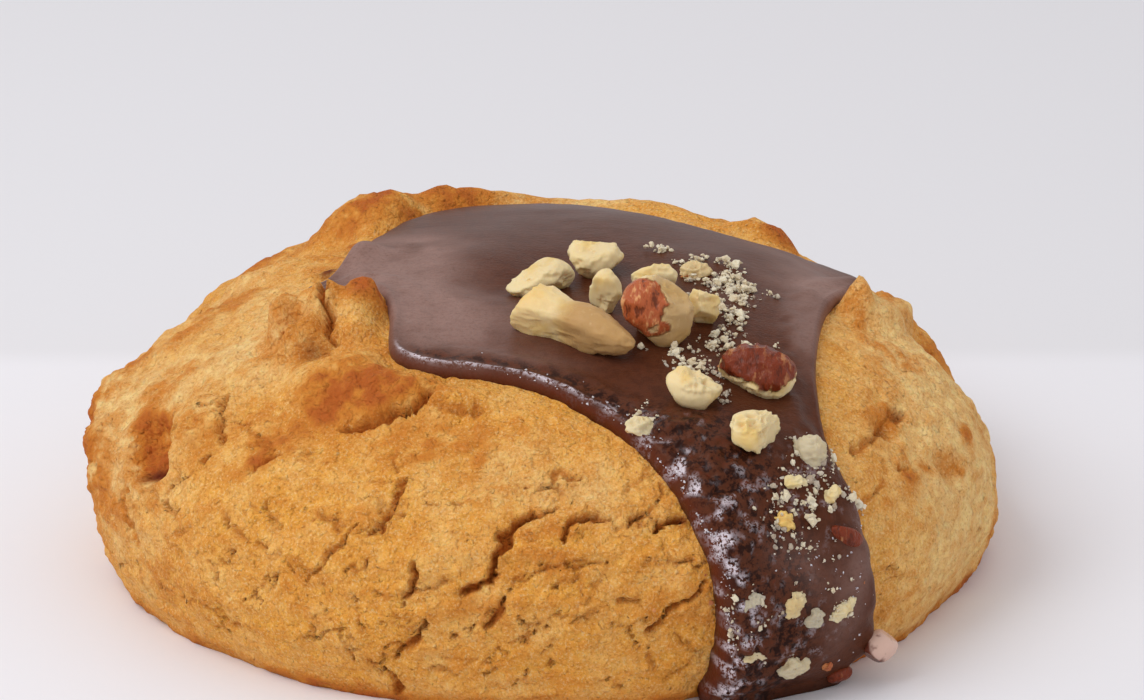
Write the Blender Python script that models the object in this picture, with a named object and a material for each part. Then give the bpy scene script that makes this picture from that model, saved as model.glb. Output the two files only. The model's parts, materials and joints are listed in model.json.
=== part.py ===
"""Thick chocolate-glazed drop cookie topped with chopped hazelnuts.

The cookie is a baked dome with a crumbly rim, lumps, pits and cracks. A band of chocolate glaze
lies over its top and runs down the front right side to just above the table. Broken hazelnuts
lie on the glaze: the large ones are pieces of their own, and the small ones are stuck fast in it.

Shapes are worked out in millimetres, and each finished mesh is scaled to metres. A place on the
dome is given on its skin pressed flat: (u, v) millimetres, u to the right and v to the back, so
that its distance from (0, 0) is the length of skin up to the top.
"""

import math

import bmesh
import bpy
import numpy as np
from mathutils import Vector

MM = 0.001

# Driving dimensions, in millimetres.
WAIST_RADIUS = 42.0
WAIST_HEIGHT = 8.5
BASE_RADIUS = 39.6
TOP_HEIGHT = 26.5
GLAZE_THICKNESS = 1.5
GLAZE_SINK = 1.7
POOL_THICKNESS = 2.3
CLEARANCE = 0.3
UNDERSIDE_LIFT = 0.45
RIM_THICKNESS = 0.2

# Shape of the dome: the exponents of its rounded shoulder, across and up.
SHOULDER_ACROSS = 2.35
SHOULDER_UP = 2.2

# Fineness of the solids.
DOUGH_CELLS = 150
DOUGH_TRIANGLES = 6000
GLAZE_CELLS_ALONG = 50
GLAZE_CELLS_ACROSS = 14
SMALL_NUT = 2.4
STUCK_BIT_SEED = 100
STUCK_BIT_FACES = 11
STUCK_BIT_NEAREST = 0.78
FARTHEST_FACE = 0.97
EDGE_SHARPNESS = 16

# Swells and hollows of the dome: u, v, half size in u, half size in v, height, squareness.
SWELLS = (
    # The flatter shoulders at the upper left and at the right.
    (-38.0, 11.0, 12.0, 9.0, -3.0, 2.0),
    (-24.0, 16.5, 6.0, 7.0, -1.6, 2.5),
    (42.0, 6.0, 8.0, 9.0, -3.4, 2.0),
    (39.0, 3.0, 4.0, 7.0, -1.1, 2.5),
    (46.0, -7.0, 6.0, 8.0, -0.8, 2.0),
    (28.0, 7.0, 5.0, 5.0, -0.8, 2.0),
    (28.5, 20.0, 5.0, 7.0, -2.0, 2.0),
    (37.0, 16.8, 4.5, 3.6, -1.1, 2.0),
    (51.0, -25.0, 9.0, 9.0, -0.9, 2.0),
    # The hollow in the top, where the hazelnuts lie.
    (2.0, -3.0, 9.0, 7.0, -0.8, 2.0),
)

# Lumps (height above 0) and pits (below 0) of the crust, given the same way.
LUMPS = (
    # The crumbly blocks that bound the glaze at the left, and the brown ledge in front of them.
    (-22.9, -12.2, 1.7, 2.4, 2.9, 4.0),
    (-19.9, -12.9, 1.5, 2.4, 3.1, 4.0),
    (-21.3, -16.4, 2.2, 1.5, 2.2, 3.0),
    (-16.6, -12.8, 2.6, 4.2, 2.8, 5.0),
    (-19.0, -22.0, 3.8, 3.0, 1.9, 3.0),
    (-14.0, -25.5, 3.6, 2.6, 1.7, 3.0),
    (-8.0, -27.0, 4.0, 2.2, 1.2, 3.0),
    # The square pit at the left, its dark bottom and the block beside it.
    (-37.0, -19.5, 2.4, 3.6, -2.2, 5.0),
    (-37.0, -22.5, 1.2, 1.4, -1.0, 3.0),
    (-31.5, -21.5, 3.0, 3.6, 1.3, 4.0),
    # The knobbly left edge and the ridge above it.
    (-43.5, -3.0, 3.6, 4.0, 1.0, 2.5),
    (-44.5, -11.0, 3.4, 3.4, 0.9, 2.5),
    (-36.0, 4.0, 5.0, 4.0, 0.4, 2.5),
    (-26.5, 10.0, 5.0, 4.0, 1.5, 3.0),
    (-20.0, 1.0, 1.0, 0.8, -1.4, 2.0),
    # The rim behind the glaze, from left to right.
    (-16.2, 23.0, 5.0, 3.6, 2.6, 3.0),
    (-9.0, 27.5, 6.0, 3.0, 2.3, 3.0),
    (-1.0, 28.5, 4.0, 2.6, 0.6, 3.0),
    (6.5, 26.5, 5.0, 3.0, 0.7, 3.0),
    (11.5, 24.6, 4.0, 3.2, 0.8, 3.0),
    (21.0, 18.5, 3.6, 3.2, 1.5, 4.0),
    # The lobe to the right of the glaze.
    (28.8, -2.6, 3.4, 3.2, 2.3, 5.0),
    (32.4, 1.4, 1.9, 2.6, 2.2, 4.0),
    (35.0, -9.0, 6.0, 6.0, 0.8, 2.0),
    (38.5, -21.5, 1.8, 1.2, -1.0, 2.5),
    (30.5, -21.8, 1.2, 0.9, -1.5, 2.5),
    # Lumps and pits of the back.
    (-30.0, 27.0, 4.2, 3.6, 0.4, 3.0),
    (-20.0, 38.0, 5.0, 3.4, 1.5, 3.5),
    (-4.0, 41.0, 4.2, 3.0, -1.3, 3.0),
    (9.0, 36.0, 5.0, 3.6, 1.6, 3.0),
    (17.0, 40.0, 4.6, 4.0, 1.5, 3.5),
    (36.0, 20.0, 3.4, 3.0, -1.4, 3.0),
)

# Cracks wide enough for the solid: depth, half width, and the points (u, v) that it passes.
CRACKS = (
    (1.3, 0.9, ((-1.0, -40.5), (-3.5, -42.0), (-4.9, -44.5), (-7.6, -46.7))),
    (0.9, 0.7, ((-11.8, -35.7), (-13.3, -39.1), (-15.0, -41.0))),
    (0.8, 0.7, ((-3.8, -47.8), (-6.0, -49.5))),
    (0.9, 0.7, ((-11.5, -44.5), (-13.1, -46.6))),
    (0.9, 0.7, ((-11.9, -48.9), (-14.6, -50.4), (-17.0, -53.5))),
    (0.9, 0.7, ((6.5, -41.5), (9.4, -41.8), (11.5, -40.1))),
    (0.9, 0.7, ((10.5, -49.1), (11.0, -47.3), (14.2, -45.0))),
    (1.1, 0.9, ((-16.0, -28.9), (-12.5, -27.9), (-9.0, -29.0))),
    (1.2, 1.0, ((31.0, -20.5), (29.5, -23.0), (27.0, -25.0), (26.8, -27.0))),
    (1.0, 0.9, ((34.5, 30.5), (30.0, 35.0), (22.0, 40.0), (18.0, 45.0))),
    (1.0, 0.9, ((-33.0, 30.0), (-36.0, 33.0), (-37.0, 38.0))),
    (0.9, 0.8, ((-2.0, 34.0), (-7.0, 36.0), (-11.0, 43.0))),
)

# Edges of the glaze from its left tip to the foot of the drip: the front edge's points and,
# straight across from each, the back edge's. The last pair stands just above the table.
FOOT_LENGTH = 57.6
FRONT_FOOT = (math.radians(-71.5), FOOT_LENGTH)
BACK_FOOT = (math.radians(-52.5), FOOT_LENGTH)
GLAZE_EDGES = (
    ((-21.6, -3.6), (-21.6, -2.4)),
    ((-20.0, -4.8), (-20.6, 0.4)),
    ((-17.0, -5.4), (-18.8, 4.6)),
    ((-14.8, -7.8), (-17.0, 10.4)),
    ((-13.8, -13.2), (-13.4, 18.6)),
    ((-12.9, -19.2), (-9.8, 23.6)),
    ((-10.4, -22.2), (-6.0, 25.4)),
    ((-6.4, -24.2), (-2.4, 25.8)),
    ((-2.2, -25.7), (3.0, 24.6)),
    ((0.4, -27.1), (9.0, 19.4)),
    ((2.2, -28.5), (15.4, 14.2)),
    ((3.4, -29.5), (21.8, 11.2)),
    ((4.4, -30.3), (26.4, 13.6)),
    ((5.4, -31.2), (31.2, 9.4)),
    ((6.6, -32.4), (28.2, 0.4)),
    ((7.8, -33.6), (25.4, -6.4)),
    ((9.0, -34.9), (24.0, -14.6)),
    ((10.3, -36.6), (23.7, -21.0)),
    ((11.6, -38.4), (24.3, -27.0)),
    ((12.9, -40.3), (25.8, -31.4)),
    ((14.5, -42.8), (28.5, -35.0)),
    ((16.1, -45.7), (31.3, -37.6)),
    ((17.4, -48.6), (33.4, -40.0)),
    ((18.2, -51.8), (35.2, -42.6)),
    (
        (FRONT_FOOT[1] * math.cos(FRONT_FOOT[0]), FRONT_FOOT[1] * math.sin(FRONT_FOOT[0])),
        (BACK_FOOT[1] * math.cos(BACK_FOOT[0]), BACK_FOOT[1] * math.sin(BACK_FOOT[0])),
    ),
)

# Bits of hazelnut stuck fast in the glaze: u, v, half sizes along, across and up, turn in degrees.
STUCK_BITS = (
    (13.3, -3.2, 1.6, 1.2, 1.0, 20.0),
    (22.2, -31.5, 1.7, 1.5, 1.5, -40.0),
    (7.8, -31.8, 1.3, 1.0, 1.0, 10.0),
    (20.4, -38.2, 1.1, 0.8, 0.7, -20.0),
    (26.4, -36.8, 1.7, 0.8, 0.8, -25.0),
    (22.7, -43.5, 1.4, 0.9, 0.8, -70.0),
    (18.4, -44.7, 1.1, 0.7, 0.7, -75.0),
    (25.2, -43.7, 1.0, 0.9, 0.7, 0.0),
    (27.9, -41.9, 1.6, 0.7, 0.7, -60.0),
    (25.3, -47.7, 1.6, 1.2, 1.0, 30.0),
    (33.0, -46.6, 1.3, 0.8, 0.8, 10.0),
    (20.4, -48.4, 1.1, 0.8, 0.8, 40.0),
    (20.9, -35.0, 1.2, 0.8, 0.8, 10.0),
    (24.4, -34.4, 1.0, 0.8, 0.8, 80.0),
)

# The glazed lump that sticks out of the drip's lower right edge, given the same way.
EDGE_LUMP = (35.2, -41.6, 2.1, 1.5, 1.5, 25.0)

# Hazelnut pieces on the glaze: name, place (u, v), half sizes along, across and up, turn in
# degrees, height of the middle above the glaze, a number that picks the broken faces, how many of
# them there are, and how near to the middle, on a ball of radius 1, the nearest may lie.
HAZELNUTS = (
    ("hazelnut_rear_left", -0.6, -7.2, 3.5, 2.4, 2.0, 22.0, 1.0, 116, 8, 0.50),
    ("hazelnut_rear_middle", 4.4, -3.0, 2.8, 2.5, 2.6, -15.0, 1.3, 105, 8, 0.50),
    ("hazelnut_rear_small", 9.6, -6.8, 2.3, 1.6, 1.5, -5.0, 0.8, 42, 8, 0.50),
    ("hazelnut_between", 5.2, -12.9, 1.6, 1.7, 2.5, 10.0, 1.4, 58, 8, 0.50),
    ("hazelnut_two_lobed", 1.6, -18.1, 7.6, 2.8, 2.6, -39.0, 1.5, 27, 8, 0.55),
    ("hazelnut_half_with_skin", 9.2, -17.6, 3.6, 2.7, 3.7, -8.0, 2.2, 29, 5, 0.60),
    ("hazelnut_right_small", 13.4, -14.5, 1.6, 1.8, 2.5, -30.0, 1.4, 196, 7, 0.45),
    ("hazelnut_with_skin", 18.0, -23.7, 3.5, 2.8, 2.4, -10.0, 1.3, 97, 5, 0.70),
    ("hazelnut_front_left", 12.3, -27.4, 2.9, 2.3, 2.0, -25.0, 1.0, 1, 9, 0.50),
    ("hazelnut_front_right", 17.0, -32.1, 2.7, 2.2, 1.8, 30.0, 0.9, 224, 9, 0.50),
)

# The hazelnut piece with two lobes: its waist, and how much thicker its near lobe is.
TWO_LOBED_SHAPE = (0.22, 0.16)


def lattice_value(cell, seed):
    """Fixed random number from 0 to 1 for each lattice cell (n, 3)."""
    mixed = cell @ np.array((374761393, 668265263, 2147483647)) + seed * 1274126177
    mixed &= 0xFFFFFFFF
    mixed = ((mixed ^ (mixed >> 13)) * 1274126177) & 0xFFFFFFFF
    return ((mixed ^ (mixed >> 16)) & 0xFFFFFF) / 0xFFFFFF


def noise(points, size, seed):
    """Smooth random height from -1 to 1 at points (n, 3), with bumps of the given size."""
    place = points / size
    cell = np.floor(place).astype(np.int64)
    part = place - cell
    part = part**3 * (part * (part * 6 - 15) + 10)
    total = np.zeros(len(points))
    for corner in np.ndindex(2, 2, 2):
        weight = np.prod(np.where(corner, part, 1 - part), axis=1)
        total += weight * lattice_value(cell + np.array(corner), seed)
    return 2 * total - 1


def dome_profile():
    """The dome's outline from the top down to the base: length of skin, radius and height.

    Above the waist it is a superellipse, and below the waist a parabola down to the base.
    """
    turn = np.radians(np.linspace(90, 0, 400))
    across = WAIST_RADIUS * np.cos(turn) ** (2 / SHOULDER_ACROSS)
    up = WAIST_HEIGHT + (TOP_HEIGHT - WAIST_HEIGHT) * np.sin(turn) ** (2 / SHOULDER_UP)
    low = np.linspace(WAIST_HEIGHT, 0, 100)[1:]
    tuck = (WAIST_RADIUS - BASE_RADIUS) * (1 - low / WAIST_HEIGHT) ** 2
    radius = np.concatenate((across, WAIST_RADIUS - tuck))
    height = np.concatenate((up, low))
    steps = np.hypot(np.diff(radius), np.diff(height))
    return np.concatenate(((0,), np.cumsum(steps))), radius, height


PROFILE_LENGTH, PROFILE_RADIUS, PROFILE_HEIGHT = dome_profile()
SKIN_LENGTH = PROFILE_LENGTH[-1]


def dome(flat):
    """Points and outward directions of the smooth dome at places (n, 2) on its skin."""
    length = np.hypot(flat[:, 0], flat[:, 1])
    turn = np.arctan2(flat[:, 1], flat[:, 0])
    radius = np.interp(length, PROFILE_LENGTH, PROFILE_RADIUS)
    height = np.interp(length, PROFILE_LENGTH, PROFILE_HEIGHT)
    slope_out = np.interp(length, PROFILE_LENGTH, np.gradient(PROFILE_RADIUS, PROFILE_LENGTH))
    slope_up = np.interp(length, PROFILE_LENGTH, np.gradient(PROFILE_HEIGHT, PROFILE_LENGTH))
    size = np.hypot(slope_out, slope_up)
    points = np.stack((radius * np.cos(turn), radius * np.sin(turn), height), axis=1)
    outward = np.stack(
        (-slope_up * np.cos(turn), -slope_up * np.sin(turn), slope_out), axis=1
    ) / size[:, None]
    return points, outward


def smooth_path(corners, per_span):
    """Catmull-Rom curve (n, 2) through the given corners."""
    corners = np.asarray(corners, dtype=float)
    padded = np.concatenate((2 * corners[:1] - corners[1:2], corners, 2 * corners[-1:] - corners[-2:-1]))
    share = np.linspace(0, 1, per_span, endpoint=False)[:, None]
    spans = []
    for before, start, end, after in zip(padded, padded[1:], padded[2:], padded[3:]):
        spans.append(
            0.5 * (2 * start + (end - before) * share
                   + (2 * before - 5 * start + 4 * end - after) * share**2
                   + (3 * start - before - 3 * end + after) * share**3)
        )
    return np.concatenate(spans + [corners[-1:]])


def distance_to_path(flat, path):
    """Distance from each place (n, 2) to a path (m, 2)."""
    nearest = np.full(len(flat), np.inf)
    for start, end in zip(path, path[1:]):
        along = end - start
        share = np.clip((flat - start) @ along / (along @ along), 0, 1)
        gap = flat - start - share[:, None] * along
        nearest = np.minimum(nearest, np.hypot(gap[:, 0], gap[:, 1]))
    return nearest


def is_inside(flat, loop):
    """Whether each place (n, 2) lies inside a closed loop (m, 2)."""
    inside = np.zeros(len(flat), dtype=bool)
    for start, end in zip(loop, np.roll(loop, -1, axis=0)):
        if start[1] == end[1]:
            continue
        spans = (flat[:, 1] < start[1]) != (flat[:, 1] < end[1])
        crossing = start[0] + (flat[:, 1] - start[1]) * (end[0] - start[0]) / (end[1] - start[1])
        inside ^= spans & (flat[:, 0] < crossing)
    return inside


def glaze_paths():
    """The glaze's front and back edges as smooth curves with as many points each."""
    front = smooth_path([pair[0] for pair in GLAZE_EDGES], 5)
    back = smooth_path([pair[1] for pair in GLAZE_EDGES], 5)
    return front, back


GLAZE_FRONT, GLAZE_BACK = glaze_paths()
GLAZE_LOOP = np.concatenate((GLAZE_FRONT, GLAZE_BACK[::-1]))


def depth_in_glaze(flat):
    """Distance from each place to the glaze's edge: above 0 inside the glaze, below 0 outside."""
    gap = distance_to_path(flat, np.concatenate((GLAZE_LOOP, GLAZE_LOOP[:1])))
    return np.where(is_inside(flat, GLAZE_LOOP), gap, -gap)


def smooth_step(value, low, high):
    """0 below low, 1 above high, with a smooth rise between."""
    share = np.clip((value - low) / (high - low), 0, 1)
    return share * share * (3 - 2 * share)


def relief(flat):
    """Height of the baked surface above the smooth dome, at places (n, 2) on its skin.

    It is broad and small bumps of noise, plus each lump as h * exp(-(distance / size)**k) and
    each crack as a groove. The glaze lies in a shallow dish of smooth dough on top.
    """
    points, _ = dome(flat)
    drift = np.stack((noise(points, 3.6, 11), noise(points, 3.6, 12)), axis=1)
    depth = depth_in_glaze(flat)
    bare = 1 - smooth_step(depth, -0.5, 1.5)
    on_top = 1 - smooth_step(np.hypot(flat[:, 0], flat[:, 1]), 27.0, 38.0)
    height = 0.5 * noise(points, 17.0, 1) + 0.3 * noise(points, 7.0, 2)
    behind = 3.5 * smooth_step(flat[:, 1], 3.0, 10.0)
    height -= GLAZE_SINK * on_top * smooth_step(depth + behind, 0.0, 4.5)
    height += bare * 0.22 * noise(points, 3.2, 3)
    moved = flat + 0.9 * drift
    crust = 1 - smooth_step(depth, -1.8, -0.4)
    for rows, strength in ((SWELLS, 1.0), (LUMPS, crust)):
        for u, v, size_u, size_v, lift, squareness in rows:
            gap = np.hypot((moved[:, 0] - u) / size_u, (moved[:, 1] - v) / size_v)
            height += strength * lift * np.exp(-(gap**squareness))
    moved = flat + 0.35 * drift
    for depth, half_width, corners in CRACKS:
        gap = distance_to_path(moved, np.asarray(corners))
        height -= bare * depth * np.exp(-((gap / half_width) ** 2))
    return height


def dough_surface(flat, lift=0.0):
    """Points of the baked surface at places (n, 2), raised by lift along the dome's direction.

    Close to the base only the sideways part of a displacement is kept, so the foot stays flat.
    """
    points, outward = dome(flat)
    height = relief(flat) + lift
    upward = smooth_step(points[:, 2], 0.0, 4.0)
    return points + height[:, None] * outward * np.stack((np.ones(len(flat)),) * 2 + (upward,), axis=1)


def glaze_thickness(flat, depth):
    """Thickness of the glaze at places (n, 2), by their distance from its edge.

    The edge is a rounded lip, and the foot of the drip swells into a pool.
    """
    pool = smooth_step(np.hypot(flat[:, 0], flat[:, 1]), 44.0, 55.0)
    full = GLAZE_THICKNESS + (POOL_THICKNESS - GLAZE_THICKNESS) * pool
    lip = 1.3 * full
    share = np.clip(depth / lip, 0, 1)
    return full * np.sqrt(1 - (1 - share) ** 2)


def glaze_top(flat, depth):
    """Points of the glaze's upper surface at places (n, 2)."""
    return dough_surface(flat, UNDERSIDE_LIFT + RIM_THICKNESS + glaze_thickness(flat, depth))


def glaze_top_at(u, v):
    """One point of the glaze's upper surface and the direction that stands on it there."""
    step = 0.5
    flat = np.array(((u, v), (u + step, v), (u, v + step)))
    points = glaze_top(flat, np.full(3, GLAZE_THICKNESS * 2))
    outward = np.cross(points[1] - points[0], points[2] - points[0])
    return Vector(points[0]), Vector(outward).normalized()


def disc_from_square(square):
    """Places in the unit disc for places (n, 2) in the square from -1 to 1.

    Rings of the square become circles of the same size, so no cell shrinks to a point.
    """
    x, y = square[:, 0], square[:, 1]
    sideways = np.abs(x) >= np.abs(y)
    ring = np.where(sideways, x, y)
    part = np.divide(np.where(sideways, y, x), ring, out=np.zeros(len(ring)), where=ring != 0)
    turn = np.where(sideways, part, 2 - part) * math.pi / 4
    return ring[:, None] * np.stack((np.cos(turn), np.sin(turn)), axis=1)


def vertex_places(bm):
    """The positions of a bmesh's vertices (n, 3)."""
    return np.array([vertex.co[:] for vertex in bm.verts])


def move_vertices(bm, points):
    """Puts each vertex of a bmesh at its point, given in millimetres."""
    for vertex, point in zip(bm.verts, points):
        vertex.co = Vector(point) * MM


def make_material(name, colour, roughness):
    """A plain Principled material."""
    material = bpy.data.materials.new(name)
    material.use_nodes = True
    shader = material.node_tree.nodes["Principled BSDF"]
    shader.inputs["Base Color"].default_value = (*colour, 1.0)
    shader.inputs["Roughness"].default_value = roughness
    return material


def make_object(name, bm, material, collection):
    """An object in the collection with the bmesh's shape."""
    bmesh.ops.recalc_face_normals(bm, faces=bm.faces)
    mesh = bpy.data.meshes.new(name)
    bm.to_mesh(mesh)
    bm.free()
    mesh.materials.append(material)
    mesh.shade_smooth()
    made = bpy.data.objects.new(name, mesh)
    collection.objects.link(made)
    return made


def apply_modifiers(made):
    """Replaces an object's mesh by what its modifiers make of it."""
    graph = bpy.context.evaluated_depsgraph_get()
    mesh = bpy.data.meshes.new_from_object(made.evaluated_get(graph))
    made.modifiers.clear()
    made.data = mesh


def triangle_count(mesh):
    """How many triangles a mesh has."""
    return sum(len(face.vertices) - 2 for face in mesh.polygons)


def thin_out(made, triangles):
    """Collapses an object's mesh to about the given number of triangles."""
    reducer = made.modifiers.new("reduce", "DECIMATE")
    reducer.ratio = triangles / triangle_count(made.data)
    apply_modifiers(made)


def make_dough(collection):
    """The cookie: one solid from a round grid on the dome's skin, closed by a flat base."""
    bm = bmesh.new()
    bmesh.ops.create_grid(bm, x_segments=DOUGH_CELLS, y_segments=DOUGH_CELLS, size=1.0)
    flat = SKIN_LENGTH * disc_from_square(vertex_places(bm)[:, :2])
    move_vertices(bm, dough_surface(flat))
    rim = [edge for edge in bm.edges if edge.is_boundary]
    bmesh.ops.holes_fill(bm, edges=rim, sides=0)
    bmesh.ops.triangulate(bm, faces=bm.faces)
    dough = make_object("cookie", bm, make_material("baked_dough", (0.72, 0.42, 0.16), 0.85), collection)
    thin_out(dough, DOUGH_TRIANGLES)
    for vertex in dough.data.vertices:
        if vertex.co.z < 0.05 * MM:
            vertex.co.z = 0.0
    return dough


def make_chunk(middle, outward, half_sizes, turn, fineness, breaks, lobes=(0.0, 0.0)):
    """A broken piece of nut as a bmesh, in millimetres.

    Its radius in a direction is 1 / (1 + sum of (facing / distance)**k)**(1/k) over the broken
    faces, which is a ball with flats and rounded edges. Breaks gives the number that picks them,
    how many there are, and how near to the middle the nearest may lie. A waist and a taper along
    it make two lobes. It is stretched to its half sizes, turned about the direction that it
    stands on, and set at its middle.
    """
    seed, count, nearest = breaks
    random = np.random.default_rng(seed)
    facing = random.normal(size=(count, 3))
    facing /= np.linalg.norm(facing, axis=1)[:, None]
    distance = random.uniform(nearest, FARTHEST_FACE, size=count)
    bm = bmesh.new()
    bmesh.ops.create_icosphere(bm, subdivisions=fineness, radius=1.0)
    direction = vertex_places(bm)
    direction /= np.linalg.norm(direction, axis=1)[:, None]
    reach = np.clip(direction @ facing.T, 0, None) / distance
    radius = 1 + np.sum(reach**EDGE_SHARPNESS, axis=1)
    points = direction * (radius ** (-1 / EDGE_SHARPNESS))[:, None]
    waist, taper = lobes
    girth = 1 - waist * np.exp(-((points[:, 0] / 0.3) ** 2)) - taper * points[:, 0]
    points[:, 1:] *= girth[:, None]
    points *= np.array(half_sizes)
    across = Vector((math.cos(turn), math.sin(turn), 0))
    across = (across - outward * across.dot(outward)).normalized()
    frame = np.array((across, outward.cross(across), outward))
    for vertex, point in zip(bm.verts, points @ frame + np.array(middle)):
        vertex.co = Vector(point)
    return bm


def scale_to_metres(bm):
    """Turns a bmesh in millimetres into metres."""
    bmesh.ops.scale(bm, vec=(MM, MM, MM), verts=bm.verts)


def make_hazelnut(row, collection, materials):
    """One hazelnut piece with a flat underside just clear of the glaze."""
    name, u, v, along, across, up, turn, height, *breaks = row
    place, outward = glaze_top_at(u, v)
    fineness = 3 if max(along, across) > SMALL_NUT else 2
    middle = place + outward * height
    lobes = TWO_LOBED_SHAPE if "two_lobed" in name else (0.0, 0.0)
    half_sizes = (along, across, up)
    bm = make_chunk(middle, outward, half_sizes, math.radians(turn), fineness, breaks, lobes)
    reach = 0.9 * max(along, across)
    turns = np.radians(np.arange(0, 360, 45))
    ring = np.array((u, v)) + reach * np.stack((np.cos(turns), np.sin(turns)), axis=1)
    below = glaze_top(ring, np.full(len(ring), GLAZE_THICKNESS * 2))
    highest = max((Vector(point) - place).dot(outward) for point in below)
    floor = place + outward * (max(highest, 0.0) + CLEARANCE)
    parts = bm.verts[:] + bm.edges[:] + bm.faces[:]
    bmesh.ops.bisect_plane(bm, geom=parts, plane_co=floor, plane_no=outward, clear_inner=True)
    bmesh.ops.holes_fill(bm, edges=[edge for edge in bm.edges if edge.is_boundary], sides=0)
    scale_to_metres(bm)
    material = materials["skin"] if "skin" in name else materials["kernel"]
    return make_object(name, bm, material, collection)


def make_stuck_bit(row, number, material, collection):
    """One small bit, half sunk in the glaze."""
    u, v, along, across, up, turn = row
    place, outward = glaze_top_at(u, v)
    breaks = (STUCK_BIT_SEED + number, STUCK_BIT_FACES, STUCK_BIT_NEAREST)
    bm = make_chunk(place, outward, (along, across, up), math.radians(turn), 2, breaks)
    scale_to_metres(bm)
    return make_object(f"stuck_bit_{number}", bm, material, collection)


def glaze_places(along, share):
    """Places (n, 2) on the dome's skin for shares of the way along and across the glaze.

    A row goes straight from the front edge to the back edge, but near the foot of the drip it
    bends to keep its distance from the table. Rows are closer together near both edges.
    """
    along = along * (len(GLAZE_FRONT) - 1)
    share = share - 0.5 * np.sin(2 * math.pi * share) / (2 * math.pi)
    number = np.arange(len(GLAZE_FRONT))
    front = np.stack([np.interp(along, number, GLAZE_FRONT[:, axis]) for axis in (0, 1)], axis=1)
    back = np.stack([np.interp(along, number, GLAZE_BACK[:, axis]) for axis in (0, 1)], axis=1)
    flat = front + share[:, None] * (back - front)
    front_length = np.hypot(front[:, 0], front[:, 1])
    back_length = np.hypot(back[:, 0], back[:, 1])
    length = front_length + share * (back_length - front_length)
    bend = smooth_step(length, 42.0, 54.0)
    return flat * (1 + bend * (length / np.hypot(flat[:, 0], flat[:, 1]) - 1))[:, None]


def join_stuck_bits(glaze, material, tools):
    """Joins the small bits to the glaze, and removes their own objects."""
    for number, row in enumerate(STUCK_BITS + (EDGE_LUMP,)):
        make_stuck_bit(row, number, material, tools)
    joiner = glaze.modifiers.new("join bits", "BOOLEAN")
    joiner.operation = "UNION"
    joiner.operand_type = "COLLECTION"
    joiner.collection = tools
    joiner.solver = "EXACT"
    apply_modifiers(glaze)
    for bit in list(tools.objects):
        bpy.data.objects.remove(bit)


def make_glaze(collection, tools):
    """The glaze: a closed band between its two edges, from its underside to its upper surface."""
    bm = bmesh.new()
    bmesh.ops.create_grid(
        bm, x_segments=GLAZE_CELLS_ALONG, y_segments=GLAZE_CELLS_ACROSS, size=1.0
    )
    underside_count = len(bm.verts)
    bmesh.ops.extrude_face_region(bm, geom=bm.faces[:], use_keep_orig=True)
    square = (vertex_places(bm)[:, :2] + 1) / 2
    flat = glaze_places(square[:, 0], square[:, 1])
    points = glaze_top(flat, np.maximum(depth_in_glaze(flat), 0))
    points[:underside_count] = dough_surface(flat[:underside_count], UNDERSIDE_LIFT)
    move_vertices(bm, points)
    bmesh.ops.triangulate(bm, faces=bm.faces)
    material = make_material("chocolate_glaze", (0.09, 0.045, 0.035), 0.35)
    glaze = make_object("glaze", bm, material, collection)
    join_stuck_bits(glaze, material, tools)
    return glaze


def main():
    """Clears the scene, then builds the cookie, the glaze and the hazelnuts."""
    for old in list(bpy.data.objects):
        bpy.data.objects.remove(old)
    parts = bpy.data.collections.new("glazed_hazelnut_cookie")
    tools = bpy.data.collections.new("joined_bits")
    for collection in (parts, tools):
        bpy.context.scene.collection.children.link(collection)
    make_dough(parts)
    make_glaze(parts, tools)
    materials = {
        "kernel": make_material("hazelnut_kernel", (0.80, 0.62, 0.34), 0.5),
        "skin": make_material("hazelnut_skin", (0.30, 0.09, 0.03), 0.5),
    }
    for row in HAZELNUTS:
        make_hazelnut(row, parts, materials)
    bpy.data.collections.remove(tools)


main()
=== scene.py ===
"""Looks of a thick drop cookie with a band of chocolate glaze and chopped hazelnuts.

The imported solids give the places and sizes. Each piece is worked out again here from the same
formulas, with the fine relief that the solids leave out: grain, crumbs and cracks in the dough, the
lip, frost and coated bits of the glaze, and broken faces and skin on the hazelnuts.

Shapes are worked out in millimetres in the row frame, and scaled to metres when a mesh is made.
A place on the cookie is given on its skin pressed flat: (u, v) millimetres, u to the right and v to
the back, so that its distance from (0, 0) is the length of skin up to the top.
"""

import json
import logging
import math
from collections.abc import Sequence
from dataclasses import dataclass
from enum import Enum
from functools import cached_property, reduce

import bpy
import numpy as np
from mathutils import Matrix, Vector

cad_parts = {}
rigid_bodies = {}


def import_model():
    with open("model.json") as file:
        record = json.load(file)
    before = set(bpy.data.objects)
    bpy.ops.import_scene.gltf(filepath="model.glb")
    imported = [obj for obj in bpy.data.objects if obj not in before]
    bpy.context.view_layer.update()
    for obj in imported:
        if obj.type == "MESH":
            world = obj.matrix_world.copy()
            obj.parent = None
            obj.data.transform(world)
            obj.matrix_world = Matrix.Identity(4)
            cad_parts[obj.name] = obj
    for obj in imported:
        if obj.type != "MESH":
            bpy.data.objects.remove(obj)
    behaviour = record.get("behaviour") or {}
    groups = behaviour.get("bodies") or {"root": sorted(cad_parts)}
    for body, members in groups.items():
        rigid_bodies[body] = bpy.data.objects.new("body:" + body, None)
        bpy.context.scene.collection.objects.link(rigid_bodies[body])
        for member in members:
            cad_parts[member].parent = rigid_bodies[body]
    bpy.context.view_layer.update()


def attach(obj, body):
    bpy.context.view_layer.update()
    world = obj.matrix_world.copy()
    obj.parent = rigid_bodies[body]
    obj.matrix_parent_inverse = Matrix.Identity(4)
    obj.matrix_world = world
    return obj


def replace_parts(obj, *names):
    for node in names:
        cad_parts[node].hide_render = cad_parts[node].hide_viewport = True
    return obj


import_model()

LOG = logging.getLogger("cookie")
MM = 0.001

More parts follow.
